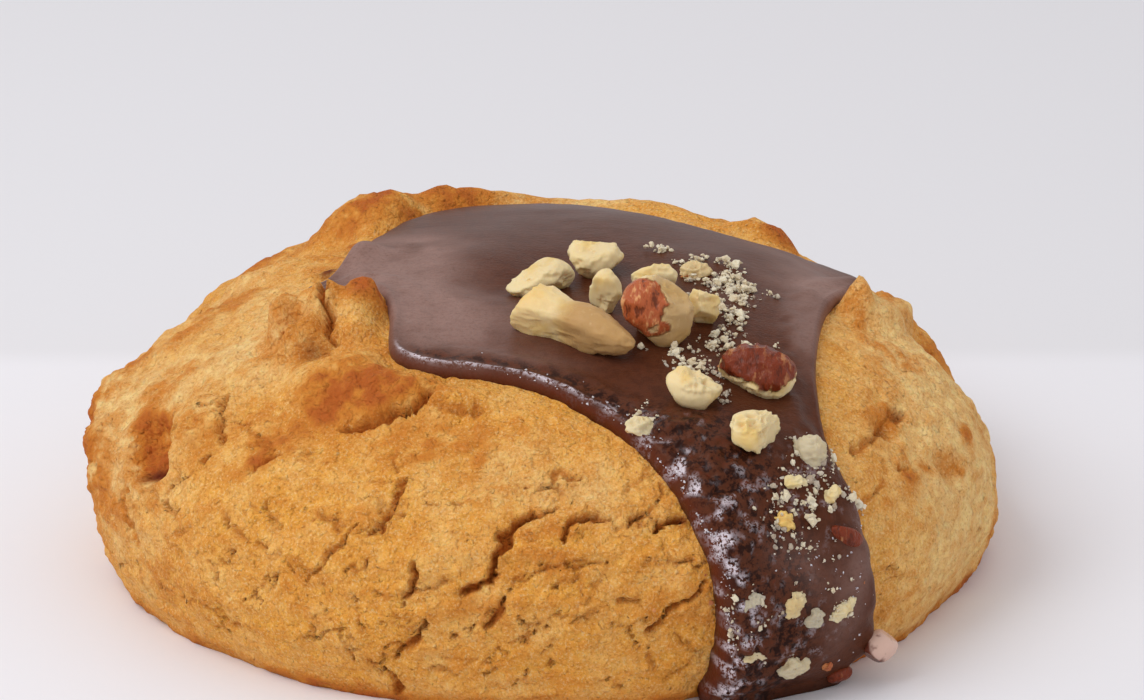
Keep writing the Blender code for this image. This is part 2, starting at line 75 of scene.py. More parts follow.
Array = np.ndarray
Colour = tuple[float, float, float, float]
Place = tuple[float, float]
Faces = list[tuple[int, ...]]


def srgb(red: float, green: float, blue: float) -> Colour:
    """A linear colour from 0 to 255 screen values.

    Args:
        red, green, blue: the screen values.

    Returns:
        The colour as Blender's sockets take it.
    """
    share = np.array((red, green, blue)) / 255
    linear = np.where(share <= 0.04045, share / 12.92, ((share + 0.055) / 1.055) ** 2.4)
    return (*linear.tolist(), 1.0)


def smooth_step(value: Array, low: float, high: float) -> Array:
    """0 below low, 1 above high, with a smooth rise between."""
    share = np.clip((value - low) / (high - low), 0, 1)
    return share * share * (3 - 2 * share)


def bell(value: Array, middle: float, width: float) -> Array:
    """A smooth hump that is 1 at its middle: exp(-((value - middle) / width)**2)."""
    return np.exp(-(((value - middle) / width) ** 2))


def polar(length: Array, turn: Array) -> Array:
    """Places (n, 2) at lengths and turns (n,) in radians round (0, 0)."""
    return np.stack((length * np.cos(turn), length * np.sin(turn)), axis=1)


def lattice_value(cell: Array, seed: int) -> Array:
    """Fixed random number from 0 to 1 for each lattice cell (n, 3)."""
    mixed = cell @ np.array((374761393, 668265263, 2147483647)) + seed * 1274126177
    mixed &= 0xFFFFFFFF
    mixed = ((mixed ^ (mixed >> 13)) * 1274126177) & 0xFFFFFFFF
    return ((mixed ^ (mixed >> 16)) & 0xFFFFFF) / 0xFFFFFF


def noise(points: Array, size: float, seed: int) -> Array:
    """Smooth random height: lattice values blended with a fifth-degree ease between corners.

    Args:
        points: places (n, 3) in millimetres.
        size: spacing of the bumps in millimetres.
        seed: picks the pattern.

    Returns:
        Heights (n,) from -1 to 1.
    """
    place = points / size
    cell = np.floor(place).astype(np.int64)
    part = place - cell
    part = part**3 * (part * (part * 6 - 15) + 10)
    total = np.zeros(len(points))
    for corner in np.ndindex(2, 2, 2):
        weight = np.prod(np.where(corner, part, 1 - part), axis=1)
        total += weight * lattice_value(cell + np.array(corner), seed)
    return 2 * total - 1


def bumpy(points: Array, rows: Sequence[tuple[float, float, int]]) -> Array:
    """Sum (n,) of noises, each given by its height, size and seed."""
    return np.sum([height * noise(points, size, seed) for height, size, seed in rows], axis=0)


def wandering(points: Array, size: float, seed: int) -> Array:
    """Two noises side by side (n, 2), by which outlines wander."""
    return np.stack((noise(points, size, seed), noise(points, size, seed + 1)), axis=1)


def nodules(points: Array, size: float, seed: int) -> Array:
    """Rounded crumbs side by side: 1 - (distance to the nearest scattered point / size)**2.

    Args:
        points: places (n, 3) in millimetres.
        size: spacing of the crumbs in millimetres.
        seed: picks the pattern.

    Returns:
        Heights (n,) from 0 in the creases to 1 on the crumbs.
    """
    place = points / size
    home = np.floor(place).astype(np.int64)
    nearest = np.full(len(points), np.inf)
    for step in np.ndindex(3, 3, 3):
        cell = home + np.array(step) - 1
        shift = np.stack([lattice_value(cell, seed + axis) for axis in range(3)], axis=1)
        nearest = np.minimum(nearest, np.sum((cell + shift - place) ** 2, axis=1))
    return np.clip(1 - nearest, 0, 1)


def ridges(points: Array, size: float, seed: int) -> Array:
    """Sharp crests like those of a broken face: 1 - |noise|."""
    return 1 - np.abs(noise(points, size, seed))


def smooth_path(corners: Sequence[Place], per_span: int) -> Array:
    """Catmull-Rom curve (n, 2) through the given corners, with per_span points a span."""
    ends = np.asarray(corners, dtype=float)
    padded = np.concatenate((2 * ends[:1] - ends[1:2], ends, 2 * ends[-1:] - ends[-2:-1]))
    share = np.linspace(0, 1, per_span, endpoint=False)[:, None]
    spans = []
    for before, start, end, after in zip(padded, padded[1:], padded[2:], padded[3:]):
        spans.append(
            0.5 * (2 * start + (end - before) * share
                   + (2 * before - 5 * start + 4 * end - after) * share**2
                   + (3 * start - before - 3 * end + after) * share**3)
        )
    return np.concatenate(spans + [ends[-1:]])


def distance_to_path(flat: Array, path: Array) -> Array:
    """Distance from each place (n, 2) to a path (m, 2)."""
    nearest = np.full(len(flat), np.inf)
    for start, end in zip(path, path[1:]):
        along = end - start
        share = np.clip((flat - start) @ along / (along @ along), 0, 1)
        gap = flat - start - share[:, None] * along
        nearest = np.minimum(nearest, np.hypot(gap[:, 0], gap[:, 1]))
    return nearest


def is_inside(flat: Array, loop: Array) -> Array:
    """Whether each place (n, 2) lies inside a closed loop (m, 2)."""
    inside = np.zeros(len(flat), dtype=bool)
    for start, end in zip(loop, np.roll(loop, -1, axis=0)):
        if start[1] == end[1]:
            continue
        spans = (flat[:, 1] < start[1]) != (flat[:, 1] < end[1])
        crossing = start[0] + (flat[:, 1] - start[1]) * (end[0] - start[0]) / (end[1] - start[1])
        inside ^= spans & (flat[:, 0] < crossing)
    return inside


def spots(flat: Array, rows: Sequence[tuple[float, ...]]) -> Array:
    """Sum of soft ovals, each strength * exp(-(distance / size)**squareness).

    Args:
        flat: places (n, 2) on the skin.
        rows: for each oval u, v, half size in u, half size in v, strength and squareness.

    Returns:
        The sum (n,) at each place.
    """
    total = np.zeros(len(flat))
    for u, v, size_u, size_v, strength, squareness in rows:
        gap = np.hypot((flat[:, 0] - u) / size_u, (flat[:, 1] - v) / size_v)
        total += strength * np.exp(-(gap**squareness))
    return total


def grid_quads(rows: int, columns: int, wrap: bool = False) -> Array:
    """Corner numbers (n, 4) of the quads of a grid numbered row by row.

    Args:
        rows: rows of points.
        columns: points in a row.
        wrap: whether the last point of a row joins the first.

    Returns:
        The corners of each quad, turned from columns towards rows.
    """
    number = np.arange(rows * columns).reshape(rows, columns)
    if wrap:
        number = np.concatenate((number, number[:, :1]), axis=1)
    corners = (number[:-1, :-1], number[:-1, 1:], number[1:, 1:], number[1:, :-1])
    return np.stack([corner.ravel() for corner in corners], axis=1)


def fan(pole: int, ring: Sequence[int]) -> Faces:
    """Triangles between a pole and a closed ring, anticlockwise seen from outside."""
    return [(pole, a, b) for a, b in zip(ring, [*ring[1:], ring[0]])]


def ball(rows: int, columns: int) -> tuple[Array, Faces]:
    """Directions (n, 3) over a ball with a point at each pole, and the faces between them."""
    tilt = np.linspace(0, math.pi, rows + 1)[1:-1]
    turn = np.linspace(0, 2 * math.pi, columns, endpoint=False)
    tilt, turn = (grid.ravel() for grid in np.meshgrid(tilt, turn, indexing="ij"))
    ring = np.stack((np.sin(tilt) * np.cos(turn), np.sin(tilt) * np.sin(turn), np.cos(tilt)), axis=1)
    directions = np.concatenate((ring, ((0.0, 0.0, 1.0), (0.0, 0.0, -1.0))))
    top, bottom = len(ring), len(ring) + 1
    quads = grid_quads(rows - 1, columns, wrap=True)[:, ::-1].tolist()
    caps = fan(top, range(columns)) + fan(bottom, range(top - 1, top - columns - 1, -1))
    return directions, quads + caps


def repeated(faces: Faces, size: int, count: int) -> Faces:
    """The faces of count copies of a mesh of size points, numbered one copy after another."""
    joined: Faces = []
    for corners in (3, 4):
        face = np.array([one for one in faces if len(one) == corners])
        joined += (face[None] + size * np.arange(count)[:, None, None]).reshape(-1, corners).tolist()
    return joined


def make_piece(
    name: str,
    points: Array,
    faces: Faces,
    material: bpy.types.Material,
    marks: dict[str, Array] | None = None,
    smooth: bool = True,
) -> bpy.types.Object:
    """A finished piece that rides on the part, with its place in its mesh.

    Args:
        name: the object's name.
        points: vertices (n, 3) in millimetres.
        faces: corner numbers of each face, anticlockwise seen from outside.
        material: the finish.
        marks: values (n,) for each named attribute that the finish reads.
        smooth: whether the faces shade as one rounded surface.

    Returns:
        The new object, linked to the scene.
    """
    mesh = bpy.data.meshes.new(name)
    mesh.from_pydata((points * MM).tolist(), [], faces)
    for mark, values in (marks or {}).items():
        layer = mesh.attributes.new(mark, "FLOAT", "POINT")
        layer.data.foreach_set("value", values.astype(np.float32))
    mesh.materials.append(material)
    if smooth:
        mesh.shade_smooth()
    mesh.update()
    piece = bpy.data.objects.new(name, mesh)
    bpy.context.scene.collection.objects.link(piece)
    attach(piece, "root")
    LOG.info("%s: %d faces", name, len(faces))
    return piece


class Bench:
    """Adds shader nodes to one material and joins them."""

    def __init__(self, name: str) -> None:
        """Starts a material with its Principled shader."""
        self.material = bpy.data.materials.new(name)
        self.material.use_nodes = True
        self.tree = self.material.node_tree
        self.shader = self.tree.nodes["Principled BSDF"]
        self.place = self.add("ShaderNodeTexCoord").outputs["Object"]

    def add(self, kind: str, **settings: object) -> bpy.types.Node:
        """A new node of the given kind with its settings."""
        node = self.tree.nodes.new(kind)
        for name, value in settings.items():
            setattr(node, name, value)
        return node

    def feed(self, node: bpy.types.Node, values: dict[object, object]) -> None:
        """Joins each named or numbered socket to an output, or sets it to a value."""
        for socket, value in values.items():
            if isinstance(value, bpy.types.NodeSocket):
                self.tree.links.new(value, node.inputs[socket])
            else:
                node.inputs[socket].default_value = value

    def finish(self, **values: object) -> bpy.types.Material:
        """Sets the shader's sockets, by name with _ for a space, and returns the material."""
        self.feed(self.shader, {name.replace("_", " "): value for name, value in values.items()})
        return self.material

    def stretched(self, stretch: tuple[float, float, float]) -> bpy.types.NodeSocket:
        """The place on the piece, scaled along each axis."""
        mapping = self.add("ShaderNodeMapping")
        self.feed(mapping, {"Vector": self.place, "Scale": stretch})
        return mapping.outputs["Vector"]

    def noise(
        self,
        size: float,
        detail: float = 2.0,
        rough: float = 0.5,
        stretch: tuple[float, float, float] = (1.0, 1.0, 1.0),
    ) -> bpy.types.NodeSocket:
        """Cloudy pattern from about 0 to 1.

        Args:
            size: size of the clouds in millimetres.
            detail: how many finer layers lie on them.
            rough: strength of the finer layers.
            stretch: squeeze of the pattern along x, y and z.

        Returns:
            The pattern's output.
        """
        node = self.add("ShaderNodeTexNoise")
        place = self.place if stretch == (1.0, 1.0, 1.0) else self.stretched(stretch)
        self.feed(node, {"Vector": place, "Scale": 1 / (size * MM), "Detail": detail, "Roughness": rough})
        return node.outputs["Fac"]

    def wandered(self, size: float, reach: float) -> bpy.types.NodeSocket:
        """The place on the piece, moved up to reach millimetres by a cloudy pattern."""
        node = self.add("ShaderNodeTexNoise")
        self.feed(node, {"Vector": self.place, "Scale": 1 / (size * MM), "Detail": 1.0})
        moved = self.add("ShaderNodeVectorMath", operation="MULTIPLY_ADD")
        self.feed(moved, {0: node.outputs["Color"], 1: (reach * MM,) * 3, 2: self.place})
        return moved.outputs[0]

    def grains(
        self, size: float, place: bpy.types.NodeSocket, feature: str = "F1"
    ) -> bpy.types.NodeSocket:
        """Distance from a place to the nearest of many points spaced by size millimetres."""
        node = self.add("ShaderNodeTexVoronoi", feature=feature)
        self.feed(node, {"Vector": place, "Scale": 1 / (size * MM)})
        return node.outputs["Distance"]

    def mark(self, name: str) -> bpy.types.NodeSocket:
        """A named attribute of the mesh."""
        return self.add("ShaderNodeAttribute", attribute_name=name).outputs["Fac"]

    def rise(self, value: bpy.types.NodeSocket, low: float, high: float) -> bpy.types.NodeSocket:
        """0 below low and 1 above high, with a smooth rise, or the reverse where low > high."""
        node = self.add("ShaderNodeMapRange", interpolation_type="SMOOTHSTEP")
        ends = (0.0, 1.0) if low < high else (1.0, 0.0)
        limits = (min(low, high), max(low, high))
        self.feed(node, {0: value, 1: limits[0], 2: limits[1], 3: ends[0], 4: ends[1]})
        return node.outputs[0]

    def blend(self, share: object, first: object, second: object) -> bpy.types.NodeSocket:
        """Colour from first to second by share."""
        node = self.add("ShaderNodeMix", data_type="RGBA")
        self.feed(node, {0: share, 6: first, 7: second})
        return node.outputs[2]

    def reckon(self, operation: str, first: object, second: object) -> bpy.types.NodeSocket:
        """A sum, product or other operation on two numbers, kept from 0 to 1."""
        node = self.add("ShaderNodeMath", operation=operation, use_clamp=True)
        self.feed(node, {0: first, 1: second})
        return node.outputs[0]

    def product(self, *parts: object) -> bpy.types.NodeSocket:
        """The product of two or more numbers, kept from 0 to 1."""
        return reduce(lambda total, part: self.reckon("MULTIPLY", total, part), parts)

    def between(self, share: object, first: float, second: float) -> bpy.types.NodeSocket:
        """A number from first to second by share."""
        node = self.add("ShaderNodeMapRange")
        self.feed(node, {0: share, 3: first, 4: second})
        return node.outputs[0]

    def coat(
        self,
        under: object,
        tone: Colour,
        pattern: bpy.types.NodeSocket,
        low: float,
        high: float,
        strength: object = 1.0,
    ) -> bpy.types.NodeSocket:
        """A colour with a tone laid over it where a pattern rises.

        Args:
            under: the colour beneath.
            tone: the colour laid over it.
            pattern: the pattern that the tone follows.
            low: value of the pattern where the tone begins.
            high: value of the pattern where it is full, and below low for the reverse.
            strength: share of the tone where it is full, as a number or an output.

        Returns:
            The colour's output.
        """
        share = self.product(self.rise(pattern, low, high), strength)
        return self.blend(share, under, tone)

    def bump(
        self, height: bpy.types.NodeSocket, depth: float, under: bpy.types.NodeSocket | None = None
    ) -> bpy.types.NodeSocket:
        """Surface direction changed by a height pattern that is depth millimetres deep."""
        node = self.add("ShaderNodeBump")
        self.feed(node, {"Height": height, "Distance": depth * MM})
        if under is not None:
            self.feed(node, {"Normal": under})
        return node.outputs["Normal"]


@dataclass(frozen=True)
class DoughFinish:
    """Dry golden crumb in soft clumps, with browned ridges and a sandy grain."""

    golden: Colour = srgb(245, 174, 72)
    pale: Colour = srgb(253, 213, 140)
    tan: Colour = srgb(216, 136, 50)
    browned: Colour = srgb(188, 98, 36)
    # Dark red-brown painted into the pit bottom, holes and gaps: painted shade on a burnt tone.
    maroon_hole_shade: Colour = srgb(96, 24, 10)
    # Colour of the crack walls and of dark specks in the grain; in the cracks it is also painted shade,
    # with deeper cracks darker.
    crevice_tone_and_shade: Colour = srgb(182, 100, 30)
    # Light cream specks: partly crystals in the crumb, partly painted glints of light.
    sugar_and_glint: Colour = srgb(252, 220, 160)
    # Sizes of the patterns in millimetres.
    clump_size: float = 0.95
    grain_size: float = 0.42
    sand_size: float = 0.24
    pore_size: float = 0.45

    def material(self) -> bpy.types.Material:
        """The finish as a material that reads browning, the painted shade of holes and of cracks, and a
        pale tone that is partly painted light.
        """
        bench = Bench("baked_dough")
        warm = bench.noise(3.4, 3.0, 0.6)
        place = bench.wandered(0.8, 0.5)
        clump = bench.grains(self.clump_size, place, "SMOOTH_F1")
        grain = bench.grains(self.grain_size, place)
        sand = bench.noise(self.sand_size, 3.0, 0.7)
        pores = bench.noise(self.pore_size, 2.0, 0.7)
        cloud = bench.product(bench.rise(warm, 0.62, 0.30), 0.35)
        # Pale tone: random clouds plus the pale spots, which are partly painted light on the sides and
        # the back rim.
        pale = bench.reckon("ADD", bench.mark("paleness_and_light"), cloud)
        bake = bench.product(bench.mark("browning"), bench.rise(warm, 0.2, 0.62))
        # Where the crust is little browned, light specks on the sandy grain: crystals and painted glints.
        sugar_glint_share = bench.product(bench.rise(bench.mark("browning"), 0.8, 0.1), 0.5)
        colour = bench.blend(pale, self.golden, self.pale)
        colour = bench.coat(colour, self.tan, clump, 0.25, 0.55, 0.35)
        colour = bench.coat(colour, self.tan, bake, 0.0, 0.5)
        colour = bench.coat(colour, self.browned, bake, 0.35, 1.0)
        colour = bench.coat(colour, self.sugar_and_glint, sand, 0.52, 0.66, sugar_glint_share)
        colour = bench.coat(colour, self.crevice_tone_and_shade, sand, 0.46, 0.34, 0.38)
        colour = bench.coat(colour, self.crevice_tone_and_shade, pores, 0.37, 0.27, 0.4)
        # Deeper cracks painted darker: their own brown plus painted shade in the hollow.
        colour = bench.blend(bench.mark("crack_tone_and_shade"), colour, self.crevice_tone_and_shade)
        # Holes and gaps painted dark: painted shade on a burnt tone.
        colour = bench.blend(bench.mark("burn_and_hole_shade"), colour, self.maroon_hole_shade)
        clumps = bench.bump(clump, -0.42)
        grit = bench.bump(grain, -0.20, clumps)
        sandy = bench.bump(sand, 0.20, grit)
        return bench.finish(
            Base_Color=colour,
            Roughness=0.8,
            Normal=sandy,
            Subsurface_Weight=0.15,
            Subsurface_Radius=(1.0, 0.5, 0.2),
            Subsurface_Scale=0.0008,
            Specular_IOR_Level=0.2,
        )


@dataclass(frozen=True)
class GlazeFinish:
    """Set chocolate glaze: a dark satin body under a dull grey-lilac layer that is partly its own and
    partly painted sheen, with frosty white patches, a painted highlight line along the lip and painted
    shade in the groove behind it.
    """

    body: Colour = srgb(87, 46, 28)
    thin: Colour = srgb(98, 45, 26)
    shade: Colour = srgb(42, 18, 11)
    # Grey-lilac of the dull layer: partly the glaze's own dullness, partly painted sheen reflecting the
    # bright room.
    bloom_and_sheen: Colour = srgb(148, 117, 108)
    # Lilac white of the frosty patches, and of the painted highlight line along the lip's crest.
    frost_and_highlight: Colour = srgb(214, 203, 210)
    satin: float = 0.32
    matt: float = 0.55

    def material(self) -> bpy.types.Material:
        """The finish as a material that reads the dull layer with its painted sheen, the frosty patches
        with the painted lip highlight, thinness, and dark patches with the painted shade of the groove.
        """
        bench = Bench("chocolate_glaze")
        cloud = bench.noise(3.4, 1.0, 0.4)
        ripple = bench.noise(0.7, 2.0, 0.6, (0.4, 1.0, 1.0))
        patch = bench.noise(0.9, 4.0, 0.75)
        lace = bench.noise(0.34, 3.0, 0.75)
        ruddy = bench.product(bench.mark("mottle_and_groove_shade"), bench.rise(patch, 0.42, 0.30))
        thin = bench.product(bench.mark("thinness"), bench.rise(patch, 0.25, 0.65))
        # The dull layer, partly painted sheen, broken by clouds, ripples and lace.
        film_and_sheen = bench.product(
            bench.mark("bloom_and_sheen"),
            bench.rise(cloud, -0.05, 0.55),
            bench.rise(ripple, -0.60, 0.60),
            bench.rise(lace, -0.10, 0.60),
        )
        # Frosty patches, and the painted highlight line on the lip.
        frost_and_highlight = bench.product(bench.mark("frost_and_highlight"), bench.rise(lace, 0.44, 0.53))
        # Dark patches of the glaze, most on the drip's left half, and painted shade in the groove behind
        # the lip.
        colour = bench.coat(self.body, self.shade, patch, 0.46, 0.58, bench.mark("mottle_and_groove_shade"))
        colour = bench.blend(bench.reckon("MAXIMUM", thin, ruddy), colour, self.thin)
        colour = bench.blend(film_and_sheen, colour, self.bloom_and_sheen)
        colour = bench.blend(frost_and_highlight, colour, self.frost_and_highlight)
        dull = bench.reckon("MAXIMUM", film_and_sheen, frost_and_highlight)
        waves = bench.bump(ripple, 0.03)
        pits = bench.bump(bench.noise(0.25, 3.0, 0.6), 0.05, waves)
        return bench.finish(
            Base_Color=colour,
            Roughness=bench.between(dull, self.satin, self.matt),
            Normal=pits,
            Subsurface_Weight=0.05,
            Subsurface_Radius=(1.0, 0.35, 0.2),
            Subsurface_Scale=0.0008,
            Specular_IOR_Level=0.09,
        )


@dataclass(frozen=True)
class BeadFinish:
    """A bit of hazelnut coated with glaze on one side and pinkish and bare on the other."""

    coated: Colour = srgb(112, 56, 40)
    bare: Colour = srgb(222, 184, 166)

    def material(self) -> bpy.types.Material:
        """The finish as a material that reads how bare the surface is."""
        bench = Bench("coated_bead")
        patch = bench.product(bench.mark("bare"), bench.noise(0.8))
        return bench.finish(
            Base_Color=bench.coat(self.coated, self.bare, patch, 0.16, 0.42),
            Roughness=0.25,
            Normal=bench.bump(bench.noise(0.4), 0.05),
        )


@dataclass(frozen=True)
class HazelnutFinish:
    """Cream hazelnut flesh with yellow depths, under red-brown papery skin where that is left."""

    cream: Colour = srgb(238, 218, 170)
    yellow: Colour = srgb(233, 202, 132)
    core: Colour = srgb(236, 184, 84)
    tan: Colour = srgb(188, 146, 92)
    grey: Colour = srgb(180, 172, 156)
    skin: Colour = srgb(124, 50, 24)
    skin_dark: Colour = srgb(84, 34, 18)
    skin_fair: Colour = srgb(178, 92, 52)
    # Light streaks of the skin, which also stand for painted highlights on its wrinkle crests.
    skin_streak_and_highlight: Colour = srgb(222, 160, 106)
    flesh_roughness: float = 0.5
    skin_roughness: float = 0.36

    def material(self) -> bpy.types.Material:
        """The finish as a material that reads skin, fairness, tan, core and grey."""
        bench = Bench("hazelnut")
        cloud = bench.noise(2.6, 2.0, 0.5)
        fibre = bench.noise(0.5, 3.0, 0.6, (1.0, 1.0, 0.35))
        wrinkle = bench.noise(0.9, 3.0, 0.7, (1.0, 0.45, 0.45))
        covered = bench.mark("skin")
        fair = bench.mark("fairness")
        flesh = bench.coat(self.cream, self.yellow, cloud, 0.44, 0.70)
        flesh = bench.blend(bench.mark("core"), flesh, self.core)
        # Tan in the fibres: the flesh's own tan, and painted shade on the ends that slope away.
        flesh = bench.coat(flesh, self.tan, fibre, 0.0, 0.42, bench.mark("tan"))
        flesh = bench.blend(bench.mark("grey"), flesh, self.grey)
        skin = bench.blend(fair, self.skin, self.skin_fair)
        skin = bench.coat(skin, self.skin_dark, wrinkle, 0.48, 0.36, 0.75)
        # Lighter skin on the wrinkle crests, most on the fair piece: its own streaks and painted
        # highlights.
        highlight_share = bench.reckon("ADD", fair, 0.45)
        skin = bench.coat(skin, self.skin_streak_and_highlight, wrinkle, 0.54, 0.68, highlight_share)
        grain = bench.bump(fibre, 0.08)
        folds = bench.bump(bench.product(wrinkle, covered), 0.40, grain)
        return bench.finish(
            Base_Color=bench.blend(covered, flesh, skin),
            Roughness=bench.between(covered, self.flesh_roughness, self.skin_roughness),
            Normal=folds,
            Subsurface_Weight=0.25,
            Subsurface_Radius=(1.0, 0.75, 0.4),
            Subsurface_Scale=0.0012,
            Specular_IOR_Level=0.22,
        )


@dataclass(frozen=True)
class CrumbFinish:
    """Small loose bits, whose colour runs from a first to a second tone from bit to bit."""

    name: str
    first: Colour
    second: Colour
    roughness: float = 0.6

    def material(self) -> bpy.types.Material:
        """The finish as a material that reads each bit's tone."""
        bench = Bench(self.name)
        patch = bench.noise(0.4, 2.0, 0.6)
        share = bench.reckon("ADD", bench.mark("tone"), bench.product(patch, 0.25))
        colour = bench.blend(share, self.first, self.second)
        return bench.finish(
            Base_Color=colour,
            Roughness=self.roughness,
            Normal=bench.bump(bench.noise(0.15, 2.0, 0.6), 0.05),
            Subsurface_Weight=0.30,
            Subsurface_Radius=(1.0, 0.8, 0.6),
            Subsurface_Scale=0.0008,
        )


@dataclass(frozen=True)
class FloorFinish:
    """Matt pale table, painted a little greyer further back as painted shade of the dimmer backdrop."""

    near: Colour = srgb(238, 237, 242)
    # Painted shade of the back of the table.
    far_shade: Colour = srgb(230, 229, 233)
    turn_from: float = 45.0
    turn_to: float = 52.0

    def material(self) -> bpy.types.Material:
        """The finish as a material."""
        bench = Bench("pale_table")
        split = bench.add("ShaderNodeSeparateXYZ")
        bench.feed(split, {0: bench.place})
        share = bench.rise(split.outputs["Y"], self.turn_from * MM, self.turn_to * MM)
        fine = bench.bump(bench.noise(1.5, 2.0, 0.5), 0.02)
        return bench.finish(
            Base_Color=bench.blend(share, self.near, self.far_shade), Roughness=0.8, Normal=fine
        )


@dataclass(frozen=True)
class Dome:
    """The smooth dome under the crust: a superellipse above the waist, a parabola below it."""

    waist_radius: float = 42.0
    waist_height: float = 8.5
    base_radius: float = 39.6
    top_height: float = 26.5
    shoulder_across: float = 2.35
    shoulder_up: float = 2.2

    @cached_property
    def profile(self) -> tuple[Array, Array, Array]:
        """Length of skin, radius and height from the top down to the base."""
        turn = np.radians(np.linspace(90, 0, 400))
        rise = self.top_height - self.waist_height
        across = self.waist_radius * np.cos(turn) ** (2 / self.shoulder_across)
        up = self.waist_height + rise * np.sin(turn) ** (2 / self.shoulder_up)
        low = np.linspace(self.waist_height, 0, 100)[1:]
        tuck = (self.waist_radius - self.base_radius) * (1 - low / self.waist_height) ** 2
        radius = np.concatenate((across, self.waist_radius - tuck))
        height = np.concatenate((up, low))
        steps = np.hypot(np.diff(radius), np.diff(height))
        return np.concatenate(((0,), np.cumsum(steps))), radius, height

    @property
    def skin_length(self) -> float:
        """Length of skin from the top to the base."""
        return float(self.profile[0][-1])

    def skin(self, flat: Array) -> tuple[Array, Array]:
        """Points and outward directions (n, 3) at places (n, 2) on the skin."""
        lengths, radii, heights = self.profile
        length = np.hypot(flat[:, 0], flat[:, 1])
        turn = np.arctan2(flat[:, 1], flat[:, 0])
        radius = np.interp(length, lengths, radii)
        height = np.interp(length, lengths, heights)
        slope_out = np.interp(length, lengths, np.gradient(radii, lengths))
        slope_up = np.interp(length, lengths, np.gradient(heights, lengths))
        size = np.hypot(slope_out, slope_up)
        points = np.stack((radius * np.cos(turn), radius * np.sin(turn), height), axis=1)
        outward = np.stack((-slope_up * np.cos(turn), -slope_up * np.sin(turn), slope_out), axis=1)
        return points, outward / size[:, None]


@dataclass(frozen=True)
class GlazeOutline:
    """The glaze's front and back edges on the skin, from its left tip to the foot of the drip.

    Each row of edges is a front point and, straight across from it, a back point. The last pair
    stands just above the table, at the two given directions in degrees.
    """

    foot_length: float = 57.6
    foot_turns: tuple[float, float] = (-71.5, -52.5)
    edges: tuple[tuple[Place, Place], ...] = (
        ((-21.6, -3.6), (-21.6, -2.4)),
        ((-20.0, -4.8), (-19.9, -0.8)),
        ((-17.0, -5.4), (-17.8, 4.0)),
        ((-14.8, -7.8), (-17.0, 10.4)),
        ((-13.8, -13.2), (-13.4, 18.6)),
        ((-13.5, -19.9), (-9.8, 23.6)),
        ((-10.8, -22.8), (-6.0, 25.4)),
        ((-6.4, -24.2), (-2.4, 25.8)),
        ((-2.2, -25.7), (3.0, 24.6)),
        ((0.4, -27.1), (9.0, 19.4)),
        ((2.2, -28.5), (15.4, 14.2)),
        ((3.4, -29.5), (21.8, 11.2)),
        ((4.4, -30.3), (26.4, 13.6)),
        ((5.4, -31.2), (31.2, 9.4)),
        ((6.6, -32.4), (28.2, 0.4)),
        ((7.8, -33.6), (25.4, -6.4)),
        ((9.0, -34.9), (24.0, -14.6)),
        ((10.3, -36.6), (23.7, -21.0)),
        ((11.6, -38.4), (24.3, -27.0)),
        ((12.9, -40.3), (25.8, -31.4)),
        ((14.5, -42.8), (28.5, -35.0)),
        ((16.1, -45.7), (31.3, -37.6)),
        ((17.4, -48.6), (33.4, -40.0)),
        ((18.2, -51.8), (35.2, -42.6)),
    )

    def _path(self, side: int) -> Array:
        """The front (0) or back (1) edge as a smooth curve."""
        turn = math.radians(self.foot_turns[side])
        foot = (self.foot_length * math.cos(turn), self.foot_length * math.sin(turn))
        return smooth_path([pair[side] for pair in self.edges] + [foot], 5)

    @cached_property
    def front(self) -> Array:
        """The front edge."""
        return self._path(0)

    @cached_property
    def back(self) -> Array:
        """The back edge, with as many points as the front."""
        return self._path(1)

    def depth(self, flat: Array) -> Array:
        """Distance from each place to the edge: above 0 inside the glaze, below 0 outside."""
        loop = np.concatenate((self.front, self.back[::-1]))
        gap = distance_to_path(flat, np.concatenate((loop, loop[:1])))
        return np.where(is_inside(flat, loop), gap, -gap)

    def places(self, along: Array, share: Array) -> Array:
        """Places (n, 2) for shares of the way along and across the glaze.

        A row goes straight from the front edge to the back edge, but near the foot of the drip
        it bends to keep its distance from the table. Rows are closer together near both edges.

        Args:
            along: shares (n,) of the way from the left tip to the foot.
            share: shares (n,) of the way from the front edge to the back edge.

        Returns:
            The places on the skin.
        """
        along = along * (len(self.front) - 1)
        share = share - 0.5 * np.sin(2 * math.pi * share) / (2 * math.pi)
        number = np.arange(len(self.front))
        front = np.stack([np.interp(along, number, self.front[:, axis]) for axis in (0, 1)], axis=1)
        back = np.stack([np.interp(along, number, self.back[:, axis]) for axis in (0, 1)], axis=1)
        flat = front + share[:, None] * (back - front)
        front_length = np.hypot(front[:, 0], front[:, 1])
        back_length = np.hypot(back[:, 0], back[:, 1])
        length = front_length + share * (back_length - front_length)
        bend = smooth_step(length, 42.0, 54.0)
        return flat * (1 + bend * (length / np.hypot(flat[:, 0], flat[:, 1]) - 1))[:, None]


